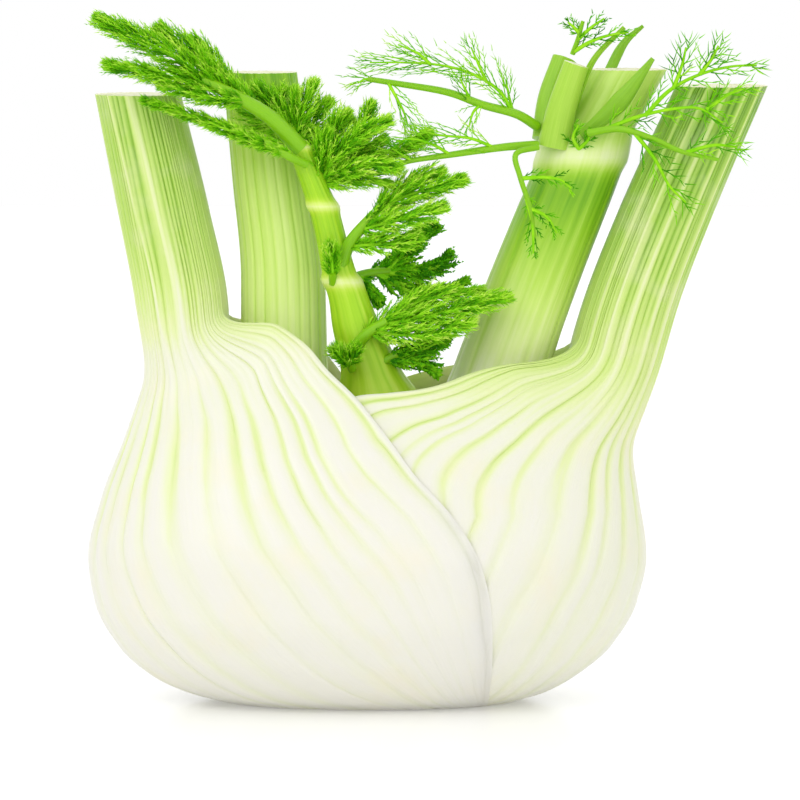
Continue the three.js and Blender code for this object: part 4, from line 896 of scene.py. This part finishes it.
def leaf_flesh(name, stops, fibre_count, roughness, blush):
    """Leaf skin: its colour from the green field, streaked along the fibres and faintly mottled, a waxy gloss
    that the streaks break up, and fine raised fibres."""
    made, tree, shader = new_material(name, FLESH)
    across, along = field(tree, "across"), field(tree, "along")
    fibre_place = add_node(tree, "ShaderNodeCombineXYZ", {}, {"X": across * fibre_count, "Y": along * 0.055})
    thin_place = add_node(tree, "ShaderNodeCombineXYZ", {}, {"X": across * fibre_count * 3.1, "Y": along * 0.12})
    place = object_place(tree)
    streak, thin = noise(tree, fibre_place, 1.0, 4.0), noise(tree, thin_place, 1.0, 2.0)
    mottle, grain = noise(tree, place, 95.0, 3.0), noise(tree, place, 1600.0, 2.0)
    green = field(tree, "green")
    shifted = green + (streak - 0.5) * (green * 0.34 + 0.05) + (mottle - 0.5) * 0.06
    colour = add_node(tree, "ShaderNodeValToRGB", {"stops": stops}, {"Fac": shifted.clamped()})
    warm = mixed(tree, ((mottle - 0.52) * blush).clamped(), colour, BLUSH)
    gloss = (streak - 0.5) * 0.16 + (grain - 0.5) * 0.1 + roughness
    wire_up(tree, shader, warm, gloss, streak * 0.6 + thin * 0.3 + grain * 0.12, strength=0.32, distance=0.0004)
    return made


def cut_flesh(name, pale, rim):
    """A cut face: pale wet pith with darker pores, gone a little brown and dry towards some spots."""
    made, tree, shader = new_material(name, FLESH)
    place = object_place(tree)
    pores = add_node(tree, "ShaderNodeTexVoronoi", {}, {"Vector": place, "Scale": 1100.0})
    blotch = noise(tree, place, 330.0, 4.0)
    base = mixed(tree, ((blotch - 0.42) * 3).clamped(), pale, rim)
    dry = mixed(tree, ((blotch - 0.6) * 4).clamped(), base, DRIED)
    colour = mixed(tree, ((0.4 - pores) * 0.9).clamped(), dry, PORE)
    wire_up(tree, shader, colour, blotch * 0.3 + 0.32, pores + blotch, strength=0.5, distance=0.0003)
    return made


def feather_green(name, stops, roughness):
    """Fronds: painted shade inside and a painted highlight at the tips by the green field, freshly uneven from
    place to place.
    """
    made, tree, shader = new_material(name, {"IOR": 1.4, "Specular IOR Level": 0.12})
    place = object_place(tree)
    patch, fine = noise(tree, place, 260.0, 2.0), noise(tree, place, 2200.0, 1.0)
    tone = field(tree, "green") + (patch - 0.5) * 0.7 + (fine - 0.5) * 0.2
    colour = add_node(tree, "ShaderNodeValToRGB", {"stops": stops}, {"Fac": tone.clamped()})
    wire_up(tree, shader, colour, patch * 0.2 + roughness, fine, strength=0.2, distance=0.0001)
    return made


def colour_stops(places, *colours):
    """A ramp's stops: each place with its colour."""
    return [(place, linear(*colour)) for place, colour in zip(places, colours)]


# From the palest skin, where the green field is 0, to the greenest
SKIN_PLACES, FEATHER_PLACES = (0.0, 0.1, 0.2, 0.35, 0.5, 0.7, 1.0), (0.0, 0.25, 0.5, 0.75, 1.0)
SHEATH_STOPS = colour_stops(SKIN_PLACES, (229, 227, 217), (227, 229, 203), (221, 230, 172), (204, 224, 134),
                            (184, 213, 106), (152, 194, 70), (106, 156, 34))
STALK_STOPS = colour_stops(SKIN_PLACES, (238, 240, 220), (234, 240, 198), (222, 236, 160), (204, 229, 122),
                           (182, 218, 84), (150, 200, 44), (100, 164, 10))
STEM_STOPS = colour_stops(SKIN_PLACES, (238, 240, 206), (228, 239, 166), (214, 234, 118), (192, 225, 66),
                          (170, 216, 34), (138, 198, 12), (96, 166, 2))
DENSE_STOPS = colour_stops(FEATHER_PLACES, (42, 122, 2), (84, 170, 6), (124, 204, 14), (164, 226, 40),
                           (204, 240, 90))
sheath_flesh = leaf_flesh("sheath_skin", SHEATH_STOPS, fibre_count=150, roughness=0.36, blush=1.4)
stalk_skin = leaf_flesh("stalk_skin", STALK_STOPS, fibre_count=90, roughness=0.34, blush=0)
cut_face = cut_flesh("cut_face", linear(238, 236, 204), linear(214, 222, 160))
dry_root = cut_flesh("dry_root", linear(226, 216, 184), linear(198, 180, 136))
feathers = feather_green("feathers", DENSE_STOPS, roughness=0.5)
stem_skin = leaf_flesh("stem_skin", STEM_STOPS, fibre_count=60, roughness=0.34, blush=0)

# ---------------------------------------------------------------- the leaves
# How green each skin is at a height. The right leaf's and the fourth leaf's also hold painted shade and painted
# light, as said at each.
left_green = through([0, 30, 55, 68, 74, 80, 88, 98, 112, 130],
                     [0.0, 0.01, 0.04, 0.07, 0.1, 0.2, 0.31, 0.42, 0.49, 0.56])
# Low on its belly the right leaf is painted a little yellower than the left: painted shade for the bulb's shaded
# right side
right_green = through([0, 30, 48, 57, 64, 70, 80, 94, 112, 132],
                      [0.02, 0.05, 0.07, 0.13, 0.24, 0.34, 0.42, 0.52, 0.68, 0.9])
inner_left_green = through([0, 60, 75, 90, 110, 125, 134], [0.02, 0.1, 0.24, 0.3, 0.36, 0.56, 0.8])
# Low down the fourth leaf's stalk is painted paler: partly its own pale base, partly painted light where it lies
# in shade
inner_right_green = through([0, 58, 68, 85, 98, 110, 122, 135], [0.0, 0.03, 0.09, 0.34, 0.6, 0.84, 0.46, 0.4])
stem_green = through([0, 58, 64, 72, 84, 100, 120], [0.02, 0.06, 0.3, 0.42, 0.48, 0.52, 0.56])

# Pale ribs of the outer stalks: place round the leaf, width, drift for each mm down, and how pale and proud
left_pale = [(0.762, 0.02, 0.0008, 0.9), (0.662, 0.008, 0.0009, 0.8), (0.3, 0.014, 0.0004, 0.8)]
right_pale = [(0.31, 0.01, 0.0002, 0.8), (0.69, 0.012, 0.0002, 0.9), (0.78, 0.014, 0.0002, 0.9),
              (0.62, 0.012, 0.0002, 0.9), (0.86, 0.012, 0.0, 0.9), (0.93, 0.01, 0.0, 0.8)]
make_piece("outer_leaf_left", leaf_part(left_leaf, left_green, left_pale, seed=1),
           [sheath_flesh, cut_face])
make_piece("outer_leaf_right", leaf_part(right_leaf, right_green, right_pale, seed=7),
           [sheath_flesh, cut_face])
third = stack_part(LEFT_STALK_ROWS, ribs=22, fineness=0.12, columns=264, row_step=1.3,
                   greenness=inner_left_green, seed=3)
make_piece("inner_leaf_left", third, [stalk_skin, cut_face])
fourth = stack_part(RIGHT_STALK_ROWS, ribs=11, fineness=0.1, columns=220, row_step=1.1,
                    greenness=inner_right_green, seed=5, bands=[(116.5, 3.2)])
branches = [limb(path, radii, 28, flat, hue, groove_depth=0.16, end_slot=end_slot)
            for path, radii, flat, hue, end_slot in BRANCHES]
make_piece("inner_leaf_right", joined([fourth, *branches]), [stalk_skin, cut_face])
stem = stack_part(STEM_ROWS, ribs=8, fineness=0.5, columns=96, row_step=0.7, greenness=stem_green, seed=9,
                  bands=[(90, 1.6), (106, 1.3), (118.6, 0.9)])
make_piece("young_shoot_stem", stem, [stem_skin, cut_face])

# The first frond's seed and the first spray's. Each later one's is one more.
SHOOT_SEED, SPRAY_SEED = 11, 101
for table, usual_style, first_seed in ((SHOOT_FRONDS, DENSE, SHOOT_SEED), (JOINT_SPRAYS, OPEN, SPRAY_SEED)):
    for number, (name, frond) in enumerate(table.items()):
        part = frond_part(frond, STYLES.get(name, usual_style), first_seed + number)
        make_piece(name, part, [feathers, stem_skin])


# The root end's points round, its wall's heights, and its faces' rings as shares of the way out
ROOT_COLUMNS, ROOT_ROWS = 160, [0, 0.25, 1.2, 2.5, 4, 5.4, 6.2]
ROOT_RINGS = [0.03, 0.25, 0.45, 0.62, 0.78, 0.92]


def root_part():
    """The trimmed root end: a shallow dish that fills the ring of sheaths at the bottom. Its wall follows the
    bulb's skin at the given insets, and its two faces are the wall's end rings drawn in to their middle."""
    angle = round_turn(ROOT_COLUMNS)[None]
    height = np.array(ROOT_ROWS)[:, None]
    inset = through(*zip(*ROOT_END_RINGS))(height)
    inset = inset + 0.3 * (height == 0) + 0.12 * waves(angle * 7, 2) * np.sin(angle / 2)
    wall = bulb_spot(angle, height, inset)
    shares = np.array(ROOT_RINGS)[:, None, None]
    low_hub, high_hub = wall[0].mean(axis=0), wall[-1].mean(axis=0)
    grid = np.concatenate([low_hub + (wall[0] - low_hub) * shares, wall,
                           high_hub + (wall[-1] - high_hub) * shares[::-1]])
    rows, sides = grid.shape[:2]
    points = np.vstack([grid.reshape(-1, 3), low_hub[None], high_hub[None]])
    faces = tube_faces(rows, sides)
    values = {key: np.zeros(len(points)) for key in ("green", "across", "along")}
    return points, facing_out(points, faces), values, np.zeros(len(faces))


make_piece("root_end", root_part(), [dry_root])

# ---------------------------------------------------------------- floor, light and camera
FLOOR_REACH, FLOOR_DROP = 4, 0.0002
floor_mesh = bpy.data.meshes.new("floor")
corners = [(x * FLOOR_REACH, y * FLOOR_REACH, 0) for x, y in ((-1, -1), (1, -1), (1, 1), (-1, 1))]
floor_mesh.from_pydata(corners, [], [(0, 1, 2, 3)])
floor = placed("floor", floor_mesh)
floor.location.z = -FLOOR_DROP
floor_mesh.materials.append(new_material(
    "pale_floor", {"Base Color": (0.9, 0.9, 0.9, 1), "Roughness": 0.18, "Specular IOR Level": 0.5,
                   "Emission Color": (1, 1, 1, 1), "Emission Strength": 0.16})[0])

world = bpy.data.worlds.new("studio")
world.use_nodes = True
backdrop = world.node_tree.nodes["Background"].inputs
backdrop["Color"].default_value, backdrop["Strength"].default_value = (1, 1, 1, 1), 1.0
bpy.context.scene.world = world


def soft_light(name, place, aim, size, power):
    """A square area light at a place, turned towards its aim."""
    data = bpy.data.lights.new(name, "AREA")
    data.shape, data.size, data.energy = "SQUARE", size, power
    lamp = placed(name, data)
    lamp.location = place
    lamp.rotation_euler = (Vector(aim) - Vector(place)).to_track_quat("-Z", "Y").to_euler()


soft_light("key", (-0.5, -0.6, 0.65), (0, 0, 0.06), size=0.5, power=1.8)
soft_light("front", (0.05, -0.9, 0.3), (0, 0, 0.08), size=0.5, power=0.4)
soft_light("fill", (0.7, -0.5, 0.35), (0, 0, 0.07), size=0.6, power=0.5)

bpy.context.scene.view_settings.view_transform = "Standard"
# The camera looks a little down at the middle of the picture frame, from as far as fits its width into the lens
RISE = math.radians(4)
LENS, SENSOR, FIELD = 200, 36, PICTURE * PIXEL * MM
centre = Vector(((PICTURE / 2 - MIDDLE_COLUMN) * PIXEL * MM, 0, (GROUND_ROW - PICTURE / 2) * PIXEL * MM))
distance = LENS / SENSOR * FIELD
camera_data = bpy.data.cameras.new("view")
camera_data.lens, camera_data.sensor_width = LENS, SENSOR
camera_data.clip_start, camera_data.clip_end = 0.05, 20
camera = placed("view", camera_data)
camera.location = centre + distance * Vector((0, -math.cos(RISE), math.sin(RISE)))
camera.rotation_euler = (math.pi / 2 - RISE, 0, 0)
bpy.context.scene.camera = camera
